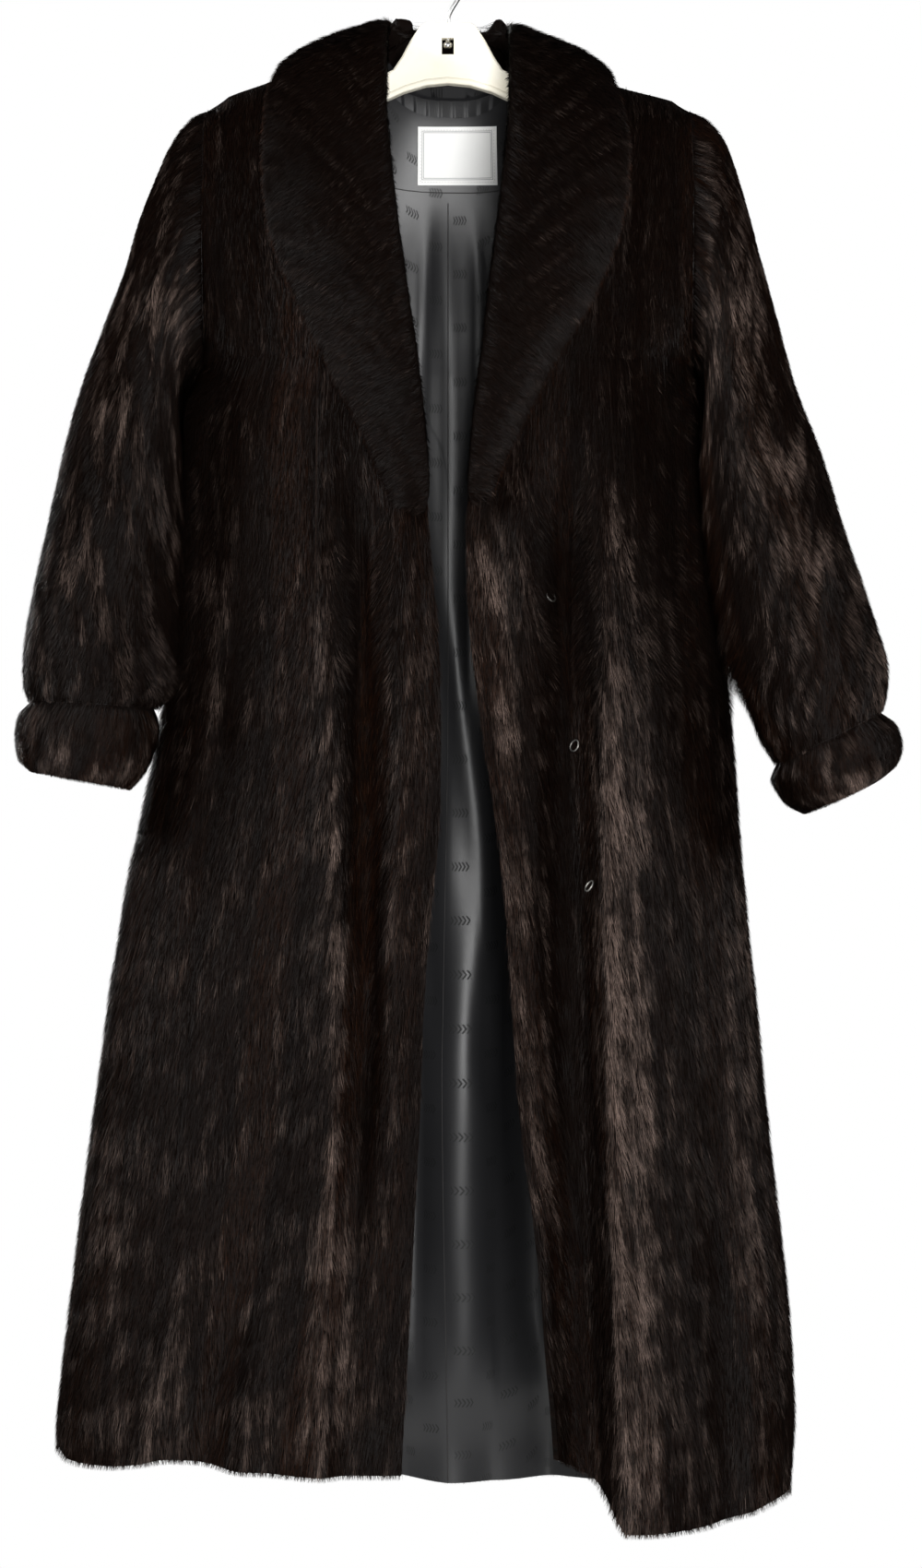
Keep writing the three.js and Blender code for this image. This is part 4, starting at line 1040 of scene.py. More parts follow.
@dataclass(frozen=True)
class Finish:
    """A surface finish with the values that are the same all over."""

    name: str
    group: Groups
    dark: tuple
    light: tuple
    roughness: float
    accent: tuple = (0.0, 0.0, 0.0, 1.0)
    # Colour of painted highlight, used by the hair.
    painted_highlight: tuple = (0.0, 0.0, 0.0, 1.0)
    metallic: float = 0.0
    sheen: float = 0.0
    specular: float = 0.5
    anisotropic: float = 0.0
    rough_span: float = 0.0
    numbers: tuple = ()

    def material(self) -> bpy.types.Material:
        """Make the material.

        Returns:
            A material with one Principled shader fed by the shared group.
        """
        made = bpy.data.materials.new(self.name)
        made.use_nodes = True
        made.diffuse_color = self.light
        made.node_tree.nodes.clear()
        bench = NodeBench(made.node_tree)
        uniform = {
            "Roughness": self.roughness, "Metallic": self.metallic, "Sheen Weight": self.sheen,
            "Specular IOR Level": self.specular, "Anisotropic": self.anisotropic,
        }
        shader = bench.add("BsdfPrincipled", uniform)
        bench.give(shader.outputs[0], bench.add("OutputMaterial").inputs[0])
        detail = bench.add("Group", node_tree=bpy.data.node_groups[self.group.value])
        shades = (
            ("Root", self.dark), ("Dark", self.dark), ("Tip", self.light), ("Light", self.light),
            ("PaintedRimLight", self.accent), ("PaintedHighlight", self.painted_highlight),
        )
        for label, value in self.numbers + shades:
            if label in detail.inputs:
                detail.inputs[label].default_value = value
        bench.give(self.colour(bench, detail), shader.inputs["Base Color"])
        if self.rough_span:
            ends = (self.roughness, self.roughness + self.rough_span)
            bench.give(bench.span(detail.outputs[0], 0.0, 1.0, *ends), shader.inputs["Roughness"])
        if "Normal" in detail.outputs:
            bench.give(detail.outputs["Normal"], shader.inputs["Normal"])
        return made

    def colour(self, bench: NodeBench, detail: bpy.types.Node) -> bpy.types.NodeSocket:
        """Base colour of the finish.

        Args:
            bench: Bench of the material.
            detail: The shared group in the material.

        Returns:
            The group's own colour, or a mix of the finish's colours by the group's mask.
        """
        if "Color" in detail.outputs:
            return detail.outputs["Color"]
        mask = detail.outputs[0]
        if self.group is Groups.JACQUARD:
            ground = bench.blend(detail.outputs["Tone"], self.dark, self.light)
            return bench.blend(mask, ground, self.accent)
        if self.group is Groups.BORDER:
            return bench.blend(mask, self.light, self.accent)
        return bench.blend(mask, self.dark, self.light)


# Hair colours: the accent is the warm painted rim light, and the last, lightest colour is painted highlight.
GUARD_HAIR = Finish(
    "guard_hair", Groups.FUR_TONES, (0.0012, 0.0005, 0.0003, 1), (0.0066, 0.0027, 0.0014, 1), 0.46,
    accent=(0.10, 0.032, 0.011, 1), painted_highlight=(0.34, 0.245, 0.205, 1), specular=0.06,
)
UNDERFUR = Finish(
    "underfur", Groups.UNDERFUR, (0.0010, 0.0005, 0.0003, 1), (0.0050, 0.0022, 0.0013, 1), 0.7, specular=0.04,
)
SATIN_LINING = Finish(
    "jacquard_satin", Groups.JACQUARD, (0.006, 0.006, 0.0066, 1), (0.014, 0.014, 0.0151, 1), 0.35,
    accent=(0.0012, 0.0012, 0.0014, 1), specular=0.34, anisotropic=0.3, rough_span=0.25,
    numbers=(("Across", 0.0225), ("Down", 0.05), ("Dash", 0.0026)),
)
RIBBON = Finish(
    "ribbon", Groups.WORN, (0.004, 0.004, 0.0045, 1), (0.014, 0.014, 0.016, 1), 0.42,
    sheen=0.1, numbers=(("Scale", 900.0), ("Depth", 0.0005)),
)
LABEL_SATIN = Finish(
    "label_satin", Groups.BORDER, (0.9, 0.9, 0.9, 1), (0.97, 0.97, 0.95, 1), 0.5,
    accent=(0.30, 0.30, 0.31, 1), sheen=0.1,
    numbers=(("Wide", 0.0385), ("Tall", 0.027)),
)
THREAD = Finish(
    "thread", Groups.WORN, (0.5, 0.5, 0.5, 1), (0.75, 0.75, 0.74, 1), 0.6,
    numbers=(("Scale", 2500.0), ("Depth", 0.0002)),
)
DARK_THREAD = Finish(
    "dark_thread", Groups.WORN, (0.004, 0.003, 0.003, 1), (0.012, 0.01, 0.01, 1), 0.6,
    numbers=(("Scale", 2500.0), ("Depth", 0.0002)),
)
MOULDED = Finish(
    "moulded_plastic", Groups.WORN, (0.93, 0.87, 0.70, 1), (0.98, 0.94, 0.82, 1), 0.38, rough_span=0.1,
    numbers=(("Scale", 420.0), ("Depth", 0.0004)),
)
STEEL = Finish(
    "polished_steel", Groups.WORN, (0.5, 0.5, 0.5, 1), (0.72, 0.72, 0.71, 1), 0.22, metallic=1.0,
    rough_span=0.2, numbers=(("Scale", 1200.0), ("Depth", 0.0002)),
)
EYE_STEEL = Finish(
    "eye_wire", Groups.WORN, (0.10, 0.095, 0.09, 1), (0.32, 0.31, 0.29, 1), 0.32, metallic=1.0,
    rough_span=0.2, numbers=(("Scale", 1600.0), ("Depth", 0.0002)),
)


class Wardrobe:
    """Every material of the coat, made once."""

    def __init__(self) -> None:
        """Make the groups and the materials."""
        effects = Effects()
        for group in Groups:
            getattr(effects, group.value)()
        self.hair = GUARD_HAIR.material()
        self.down = UNDERFUR.material()
        self.satin = SATIN_LINING.material()
        self.ribbon = RIBBON.material()
        self.label = LABEL_SATIN.material()
        self.thread = THREAD.material()
        self.dark_thread = DARK_THREAD.material()
        self.plastic = MOULDED.material()
        self.steel = STEEL.material()
        self.eye = EYE_STEEL.material()


@dataclass
class GuardHair:
    """Guard hair of one pelt: thin pointed blades that lie along the surface.

    Heights, lengths and widths are in millimetres. The seed fixes every random draw. Hair stands
    up by the fluff where sleeve and body touch, and the inner side of a sleeve is -1 or 1.
    """

    count: int
    length: float = 15.0
    width: float = 0.75
    seed: int = 1
    low: float = -1.0
    high: float = 2.2
    jitter: float = 0.10
    overhang: float = 4.0
    ring: bool = False
    # Row along which a warm colour is laid as painted rim light.
    rim: float = 0.0
    strip: float = 46.0
    ruffle: float = 0.10
    lean: float = 0.30
    spread: float = 0.45
    shine: float = 0.35
    fluff: float = 0.0
    inner: int = 0
    # Painted highlight in the hair's colour: its base share, its share in the patches, and painted light and
    # shade on the folds.
    painted_sheen_base: float = 0.0
    patch_sheen: float = 1.0
    paint_folds: bool = False
    tint: float = 1.0

    def sample(self, grid: ClothGrid, r: np.ndarray, c: np.ndarray) -> tuple:
        """Read a grid between its points.

        Args:
            grid: The pelt's surface.
            r: Row of each place, with fractions.
            c: Column of each place, with fractions.

        Returns:
            Points, normals, steps along the rows and the columns, and cloth places.
        """
        rows, columns = grid.points.shape[:2]
        if self.ring:
            c = np.mod(c, columns - 1)
        beyond = np.maximum(r - (rows - 1), 0) + np.minimum(r, 0)
        over = np.maximum(c - (columns - 1), 0) + np.minimum(c, 0)
        r = np.clip(r, 0, rows - 1)
        c = np.clip(c, 0, columns - 1)
        i = np.minimum(r.astype(int), rows - 2)
        j = np.minimum(c.astype(int), columns - 2)
        t = (r - i)[:, None]
        s = (c - j)[:, None]

        def read(values: np.ndarray) -> np.ndarray:
            """Bilinear value."""
            top = values[i, j] * (1 - s) + values[i, j + 1] * s
            low = values[i + 1, j] * (1 - s) + values[i + 1, j + 1] * s
            return top * (1 - t) + low * t

        p = grid.points
        down = (p[i + 1, j] - p[i, j]) * (1 - s) + (p[i + 1, j + 1] - p[i, j + 1]) * s
        across = (p[i, j + 1] - p[i, j]) * (1 - t) + (p[i + 1, j + 1] - p[i + 1, j]) * t
        place = read(p) + down * beyond[:, None] + across * over[:, None]
        return place, unit(read(grid.normals)), down, across, read(grid.uv)

    def roots(self, grid: ClothGrid, rng: np.random.Generator) -> tuple[np.ndarray, np.ndarray]:
        """Random places, as dense everywhere."""
        p = grid.points
        area = np.linalg.norm(np.cross(p[1:, :-1] - p[:-1, :-1], p[:-1, 1:] - p[:-1, :-1]), axis=2)
        pick = rng.choice(area.size, size=self.count, p=(area / area.sum()).ravel())
        r, c = np.divmod(pick, area.shape[1])
        return r + rng.random(self.count), c + rng.random(self.count)

    def grow(self, name: str, grid: ClothGrid, base: float, finish: bpy.types.Material) -> bpy.types.Object:
        """Grow the hair on a pelt.

        Args:
            name: Name of the piece.
            grid: The pelt's outer surface, along which the hair lies.
            base: Depth of the roots under that surface.
            finish: The hair's material.

        Returns:
            All the blades as one object.
        """
        rng = np.random.default_rng(self.seed)
        r, c = self.roots(grid, rng)
        n = self.count
        place, normal, down, across, cloth = self.sample(grid, r, c)
        flow = unit(read_flow(grid, r, c, self.ring))
        side = np.cross(normal, flow)
        patch = self.patches(cloth / MM, rng)
        swing = rng.normal(0, self.jitter, n) + self.ruffle * patch
        heading = unit(flow + side * swing[:, None])
        length = self.length * rng.uniform(0.65, 1.2, n)
        dr, dc = grid_step(heading, down, across)
        high = rng.uniform(self.low, self.high, n) + 0.5 * patch + self.raised(place, normal)
        rows = grid.points.shape[0] - 1
        limit = rows + self.overhang / np.maximum(np.linalg.norm(down, axis=1), 1e-6)
        at_r = np.minimum(r + dr * length, limit)
        tip, over, _, _, _ = self.sample(grid, at_r, c + dc * length)
        tip = tip + over * high[:, None]
        root = place - normal * base
        tilt = rng.uniform(-0.8, 0.8, n)[:, None]
        wide = unit(side * np.cos(tilt) + normal * np.sin(tilt)) * (self.width / 2)
        verts = np.stack([root - wide, root + wide, tip], 1).reshape(-1, 3)
        faces = np.arange(3 * n).reshape(-1, 3)[:, [1, 0, 2]]
        turn = rng.uniform(-self.spread, self.spread, n)[:, None]
        lean = self.lean * (1 + self.shine * patch)[:, None]
        facing = unit(unit(over + normal) * np.cos(turn) + side * np.sin(turn) - heading * lean)
        shade = np.stack([unit(facing - side * 0.3), unit(facing + side * 0.3), facing], 1).reshape(-1, 3)
        hue = self.hues(cloth / MM, r, rng)
        zero = np.zeros(n)
        tone = rng.uniform(0.7, 1.0, n)
        lie = np.stack([np.stack([hue, zero], 1), np.stack([hue, zero], 1), np.stack([hue, tone], 1)], 1)
        painted_sheen = self.painted_sheen(place, cloth / MM, patch, rng)
        layers = {
            "lie": lie.reshape(-1, 2)[faces.ravel()],
            "painted_sheen": np.repeat(np.stack([painted_sheen, zero], 1), 3, axis=0),
        }
        return Mesher().make(name, verts, faces, [finish], layers, normals=shade)

    def painted_sheen(
        self, place: np.ndarray, cloth: np.ndarray, patch: np.ndarray, rng: np.random.Generator,
    ) -> np.ndarray:
        """How much painted highlight each hair's colour takes: bright on the crests and in streaks along the
        lie.

        Args:
            place: Roots on the surface.
            cloth: Places on the cloth in millimetres.
            patch: Brushed patches.
            rng: Source of the variation.

        Returns:
            Share of the painted highlight colour, from 0 to 1.
        """
        streak = np.zeros(len(patch))
        for wave, reach in STREAKS:
            start = rng.uniform(0, 2 * np.pi, 2)
            bend = 1.6 * np.sin(2 * np.pi * cloth[:, 1] / reach + start[1])
            streak += np.sin(2 * np.pi * cloth[:, 0] / wave + start[0] + bend)
        level = self.painted_sheen_base + CREST_GAIN * self.painted_fold_shading(place) + STREAK_GAIN * streak
        level = level + PATCH_GAIN * patch * self.patch_sheen + self.painted_sheen_spots(place)
        return np.clip(level + rng.normal(0, SHINE_SPREAD, len(patch)), 0, 1) ** SHINE_POWER

    def painted_sheen_spots(self, place: np.ndarray) -> np.ndarray:
        """Extra painted highlight at the listed spots, on the front alone."""
        total = np.zeros(len(place))
        if place[:, 1].mean() > 0:
            return total
        for spot in PAINTED_SHEEN_SPOTS:
            a = (place[:, 0] - spot.x) / spot.wide
            b = (place[:, 2] - spot.z) / spot.tall
            total += spot.gain * PAINTED_SHEEN_SPOT_GAIN * np.exp(-a * a - b * b)
        return total

    def painted_fold_shading(self, place: np.ndarray) -> np.ndarray:
        """Painted highlight on the crests of the body's folds and painted shade in their valleys.

        Args:
            place: Roots on the surface.

        Returns:
            About 1 on a fold's top, as painted highlight, -1 in a valley, as painted shade, and less near the
            shoulders, where the upper body is painted darker.
        """
        if not self.paint_folds:
            return np.zeros(len(place))
        x = place[:, 0]
        z = place[:, 2]
        face = Face.BACK if place[:, 1].mean() > 0 else Face.FRONT
        crests = Drape().fold_depth(face, x, z, CREST_POWER)
        rise = np.clip(crests / CREST_DEPTH, -1, CREST_TOP)
        # The upper body gets less painted highlight and some painted shade.
        lower = mix(UPPER_SHARE, 1.0, smooth((UPPER_Z - z) / UPPER_FADE))
        return np.where(rise > 0, np.abs(rise) ** 1.5, rise) * lower - UPPER_SHARE * (1 - lower)

    def raised(self, place: np.ndarray, normal: np.ndarray) -> np.ndarray:
        """How much higher the hair stands below the underarm, where sleeve and body touch.

        Args:
            place: Roots on the surface.
            normal: Outward direction there.

        Returns:
            Extra height of each tip.
        """
        toward = np.abs(normal[..., 0])
        if self.inner:
            toward = np.maximum(-normal[..., 0] * self.inner, -normal[..., 2])
        z = place[..., 2]
        span = smooth((FLUFF_TOP - z) / 30) * smooth((z - FLUFF_LOW) / 60)
        return self.fluff * smooth((toward - 0.3) / 0.4) * span

    def patches(self, cloth: np.ndarray, rng: np.random.Generator) -> np.ndarray:
        """Soft patches, from -1 to 1, where the hair has been combed another way; they also add painted
        highlight.

        Args:
            cloth: Places on the cloth in millimetres.
            rng: Source of the patches' directions.

        Returns:
            One value for each place.
        """
        total = np.zeros(len(cloth))
        for wave in PATCHES:
            turn = rng.uniform(0, 2 * np.pi)
            start = rng.uniform(0, 2 * np.pi, 2)
            x = cloth[:, 0] * np.cos(turn) + cloth[:, 1] * np.sin(turn)
            y = cloth[:, 1] * np.cos(turn) - cloth[:, 0] * np.sin(turn)
            bend = 1.3 * np.sin(2 * np.pi * y / wave / 1.7 + start[1])
            total += np.sin(2 * np.pi * x / wave + start[0] + bend)
        return np.tanh(total / 1.6)

    def hues(self, cloth: np.ndarray, r: np.ndarray, rng: np.random.Generator) -> np.ndarray:
        """Place of each hair between dark, brown and the warm colour of the painted rim light.

        Args:
            cloth: Places on the cloth in millimetres.
            r: Row of each hair on the grid.
            rng: Source of the variation.

        Returns:
            Zero for dark, one half for brown and one for the warm painted rim light.
        """
        across = cloth[:, 0] / self.strip + 0.25 * np.sin(cloth[:, 1] / 190)
        number = np.floor(across).astype(int)
        strips = rng.uniform(0.34, 0.52, 64)[number % 64]
        join = np.abs(across - np.round(across)) * self.strip
        hue = self.tint * strips * (1 - 0.35 * np.exp(-(join / 4.0) ** 2)) + rng.normal(0, 0.05, len(r))
        # Near the rim row the hue goes warm: painted rim light along the collar's edge.
        if self.rim > 0:
            near = smooth((r - self.rim) / 3.0) * (1 - smooth((r - self.rim - 6) / 3.0))
            hue = hue + near * rng.uniform(0.1, 0.5, len(r))
        return np.clip(hue, 0, 1)


def read_flow(grid: ClothGrid, r: np.ndarray, c: np.ndarray, ring: bool) -> np.ndarray:
    """Lie of the hair at places on a grid."""
    rows, columns = grid.flow.shape[:2]
    i = np.clip(np.round(r).astype(int), 0, rows - 1)
    j = np.round(c).astype(int)
    j = j % (columns - 1) if ring else np.clip(j, 0, columns - 1)
    return grid.flow[i, j]


def grid_step(heading: np.ndarray, down: np.ndarray, across: np.ndarray) -> tuple:
    """Rows and columns that one millimetre along a heading crosses."""
    a = np.einsum("ij,ij->i", down, down)
    b = np.einsum("ij,ij->i", down, across)
    d = np.einsum("ij,ij->i", across, across)
    p = np.einsum("ij,ij->i", heading, down)
    q = np.einsum("ij,ij->i", heading, across)
    det = np.maximum(a * d - b * b, 1e-9)
    limit = 3.0
    return np.clip((p * d - q * b) / det, -limit, limit), np.clip((q * a - p * b) / det, -limit, limit)


@dataclass
class Assembly:
    """A sub-assembly of the coat, all on its one body."""

    drape: Drape
    wardrobe: Wardrobe
    mesher: Mesher = field(default_factory=Mesher)

    def fit(self, obj: bpy.types.Object, slot: str, *nodes: str) -> bpy.types.Object:
        """Attach a piece to the body.

        Args:
            obj: The piece.
            slot: Its material slot; not used.
            nodes: Solids that it stands for.

        Returns:
            The same piece.
        """
        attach(obj, "root")
        if nodes:
            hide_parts(*nodes)
        LOG.info("%s: %d faces", obj.name, len(obj.data.polygons))
        return obj

    def declare(self, obj: bpy.types.Object, grid: ClothGrid, others: list, held: str = "hung") -> None:
        """Work out the flat width, length and area of a sheet from its own surface."""
        width, length, area = grid.size()
        area = min(area, width * length)

    def clothe(self, name: str, grid: ClothGrid, thick: float, coat: GuardHair, held: str) -> None:
        """Build one pelt with its hair.

        Args:
            name: Name of its solid.
            grid: Outer surface of the pelt.
            thick: Thickness of the solid's wall.
            coat: Guard hair of the pelt.
            held: How the sheet is held; passed on to declare, which does not use it.
        """
        inside = self.wardrobe.down if name == "back" else self.wardrobe.satin
        swell = coat.raised(grid.points, grid.normals) * SWELL_SHARE
        pelt = self.mesher.shell(
            name + "_pelt", grid, HAIR_DEPTH, thick, [self.wardrobe.down, inside],
            ring=coat.ring, lift=-swell,
        )
        self.fit(pelt, "fur", name)
        hair = coat.grow(name + "_hair", grid, HAIR_DEPTH, self.wardrobe.hair)
        self.fit(hair, "fur")
        self.declare(pelt, grid, [hair], held)


@dataclass
class Body(Assembly):
    """The two fronts and the back."""

    front_hairs: int = 135000
    back_hairs: int = 150000

    def build(self) -> None:
        """Build and dress the three panels."""
        panels = (
            ("front_right", self.drape.front(Side.RIGHT), self.front_hairs, 10),
            ("front_left", self.drape.front(Side.LEFT), self.front_hairs, 12),
            ("back", self.drape.back(), self.back_hairs, 17),
        )
        for name, grid, hairs, seed in panels:
            coat = GuardHair(hairs, seed=seed, fluff=10.0, painted_sheen_base=0.04, patch_sheen=0.75, paint_folds=True)
            self.clothe(name, grid, FUR, coat, "hung")


@dataclass
class Sleeves(Assembly):
    """Both sleeves and their turned cuffs."""

    columns: int = 72
    sleeve_hairs: int = 95000
    cuff_hairs: int = 28000
    seam_depth: float = 5.0
    seam_radius: float = 1.6

    def build(self) -> None:
        """Build and dress the four tubes."""
        tubes = (
            ("sleeve_right", SLEEVE_RIGHT, FUR, 3, True, self.sleeve_hairs, 23),
            ("sleeve_left", SLEEVE_LEFT, FUR, 3, True, self.sleeve_hairs, 29),
            ("cuff_right", CUFF_RIGHT, CUFF_THICK, 5, False, self.cuff_hairs, 31),
            ("cuff_left", CUFF_LEFT, CUFF_THICK, 5, False, self.cuff_hairs, 37),
        )
        for name, rings, thick, finer, creased, hairs, seed in tubes:
            grid = self.drape.tube(rings, self.columns, finer, creased)
            side = 1 if name.endswith("left") else -1
            coat = GuardHair(
                hairs, seed=seed, ring=True, length=14.0, overhang=3.0, ruffle=0.3, fluff=13.0,
                inner=side, shine=0.8, painted_sheen_base=0.02, patch_sheen=1.2,
            )
            self.clothe(name, grid, thick, coat, "gathered")
            self.seam(grid, name)

    def seam(self, grid: ClothGrid, name: str) -> None:
        """Lay the whipped seam along the upper end of a tube."""
        ring = (grid.points[0] - grid.normals[0] * self.seam_depth)[:-1]
        size = np.full(len(ring), self.seam_radius)
        cord = self.mesher.rod(name + "_seam", ring, size, 8, self.wardrobe.dark_thread, closed=True)
        self.fit(cord, "fur")


@dataclass
class Collar(Assembly):
    """The shawl collar."""

    station_steps: int = 4
    section_steps: int = 4
    inset: float = 2.5
    hairs: int = 150000
    down_share: float = 0.85

    def grid(self) -> ClothGrid:
        """Surface of the collar: rows run from its rolled edge outward, columns along it.

        Returns:
            The grid, whose last row meets the first.
        """
        sections = self.drape.collar_sections()
        along = refine(sections, self.station_steps)
        points = refine(np.swapaxes(along, 0, 1), self.section_steps, closed=True)
        points = np.concatenate([points, points[:1]])
        down = np.gradient(points, axis=0)
        down[0] = down[-1] = points[1] - points[-2]
        across = np.gradient(points, axis=1)
        normals = unit(np.cross(down, across))
        over = self.section_steps * 3
        through = points[over] - points[self.section_steps * 11]
        if np.einsum("ij,ij->i", normals[over], through).mean() < 0:
            normals = -normals
        grid = finish_grid(points, normals)
        fall = np.array([0.0, 0.0, -1.0]) - normals * (normals @ np.array([0.0, 0.0, -1.0]))[..., None]
        grid.flow = unit(unit(down) + fall * self.down_share)
        return grid

    def build(self) -> None:
        """Build the collar and its hair."""
        grid = self.grid()
        pelt = self.solid(grid)
        self.fit(pelt, "fur", "collar")
        steps = self.section_steps
        shown = grid.part(slice(0, steps * 8 + 1))
        coat = GuardHair(
            self.hairs, seed=41, length=11.0, width=0.7, rim=steps * 5.6, overhang=1.0, strip=400.0,
            patch_sheen=0.35, painted_sheen_base=-0.10, tint=0.62,
        )
        hair = coat.grow("collar_hair", shown, self.inset, self.wardrobe.hair)
        self.fit(hair, "fur")
        width, length, area = grid.part(slice(0, steps * 7 + 1)).size()
        length, width = max(width, length), min(width, length)

    def solid(self, grid: ClothGrid) -> bpy.types.Object:
        """Closed body of the collar under its hair.

        Args:
            grid: Surface of the collar.

        Returns:
            One closed object.
        """
        p = (grid.points - grid.normals * self.inset)[:-1]
        rows, columns = p.shape[:2]
        r, c = (a.ravel() for a in np.meshgrid(np.arange(rows), np.arange(columns - 1), indexing="ij"))
        nxt = (r + 1) % rows
        here = r * columns + c
        there = nxt * columns + c
        quads = np.stack([here, there, there + 1, here + 1], 1)
        triangles = [quads[:, [0, 1, 2]], quads[:, [0, 2, 3]]]
        verts = np.vstack([p.reshape(-1, 3), p[:, 0].mean(0)[None], p[:, -1].mean(0)[None]])
        start = np.arange(rows) * columns
        after = np.roll(start, -1)
        last = columns - 1
        middle = start * 0 + rows * columns
        triangles.append(np.stack([middle, after, start], 1))
        triangles.append(np.stack([middle + 1, start + last, after + last], 1))
        faces = np.concatenate(triangles)
        q = verts[faces]
        if np.einsum("ij,ij->i", q[:, 0], np.cross(q[:, 1], q[:, 2])).sum() < 0:
            faces = faces[:, ::-1]
        return self.mesher.make("collar_pelt", verts, faces, [self.wardrobe.down])


class Trough(NamedTuple):
    """One soft crease of the lining: its line, half-width and depth; a ridge is negative."""

    top_x: float
    top_z: float
    low_x: float
    low_z: float
    width: float
    depth: float


TROUGHS = (
    Trough(-1, -215, -2, -760, 10, -2.4), Trough(-23, -225, -19, -740, 6, 2.6),
    Trough(25, -225, 24, -700, 6, 2.6), Trough(37, -300, 32, -700, 5, -1.8),
    Trough(20, -840, 16, -1330, 16, -5.0), Trough(53, -860, 60, -1290, 12, 6.0),
    Trough(-12, -600, -8, -1000, 9, 4.5), Trough(10, -560, 34, -1010, 10, -4.5),
    Trough(38, -790, 30, -1060, 8, 5.0), Trough(-36, -980, -30, -1380, 9, -4.0),
    Trough(86, -1010, 94, -1330, 13, -5.0), Trough(-28, -560, -26, -1340, 11, 4.0),
    Trough(-52, -700, -58, -1340, 10, -2.6), Trough(40, -1240, 36, -1400, 9, -2.2),
    Trough(2, -1180, 6, -1400, 7, 1.8), Trough(110, -900, 122, -1380, 10, 2.6),
    Trough(-90, -500, -110, -1390, 12, 2.6), Trough(-130, -420, -165, -1380, 12, -2.4),
    Trough(-190, -560, -230, -1380, 13, 2.6), Trough(140, -480, 165, -1380, 12, -2.6),
    Trough(190, -520, 232, -1380, 13, 2.4), Trough(-250, -900, -290, -1380, 12, -2.2),
    Trough(255, -940, 280, -1380, 12, 2.2),
)


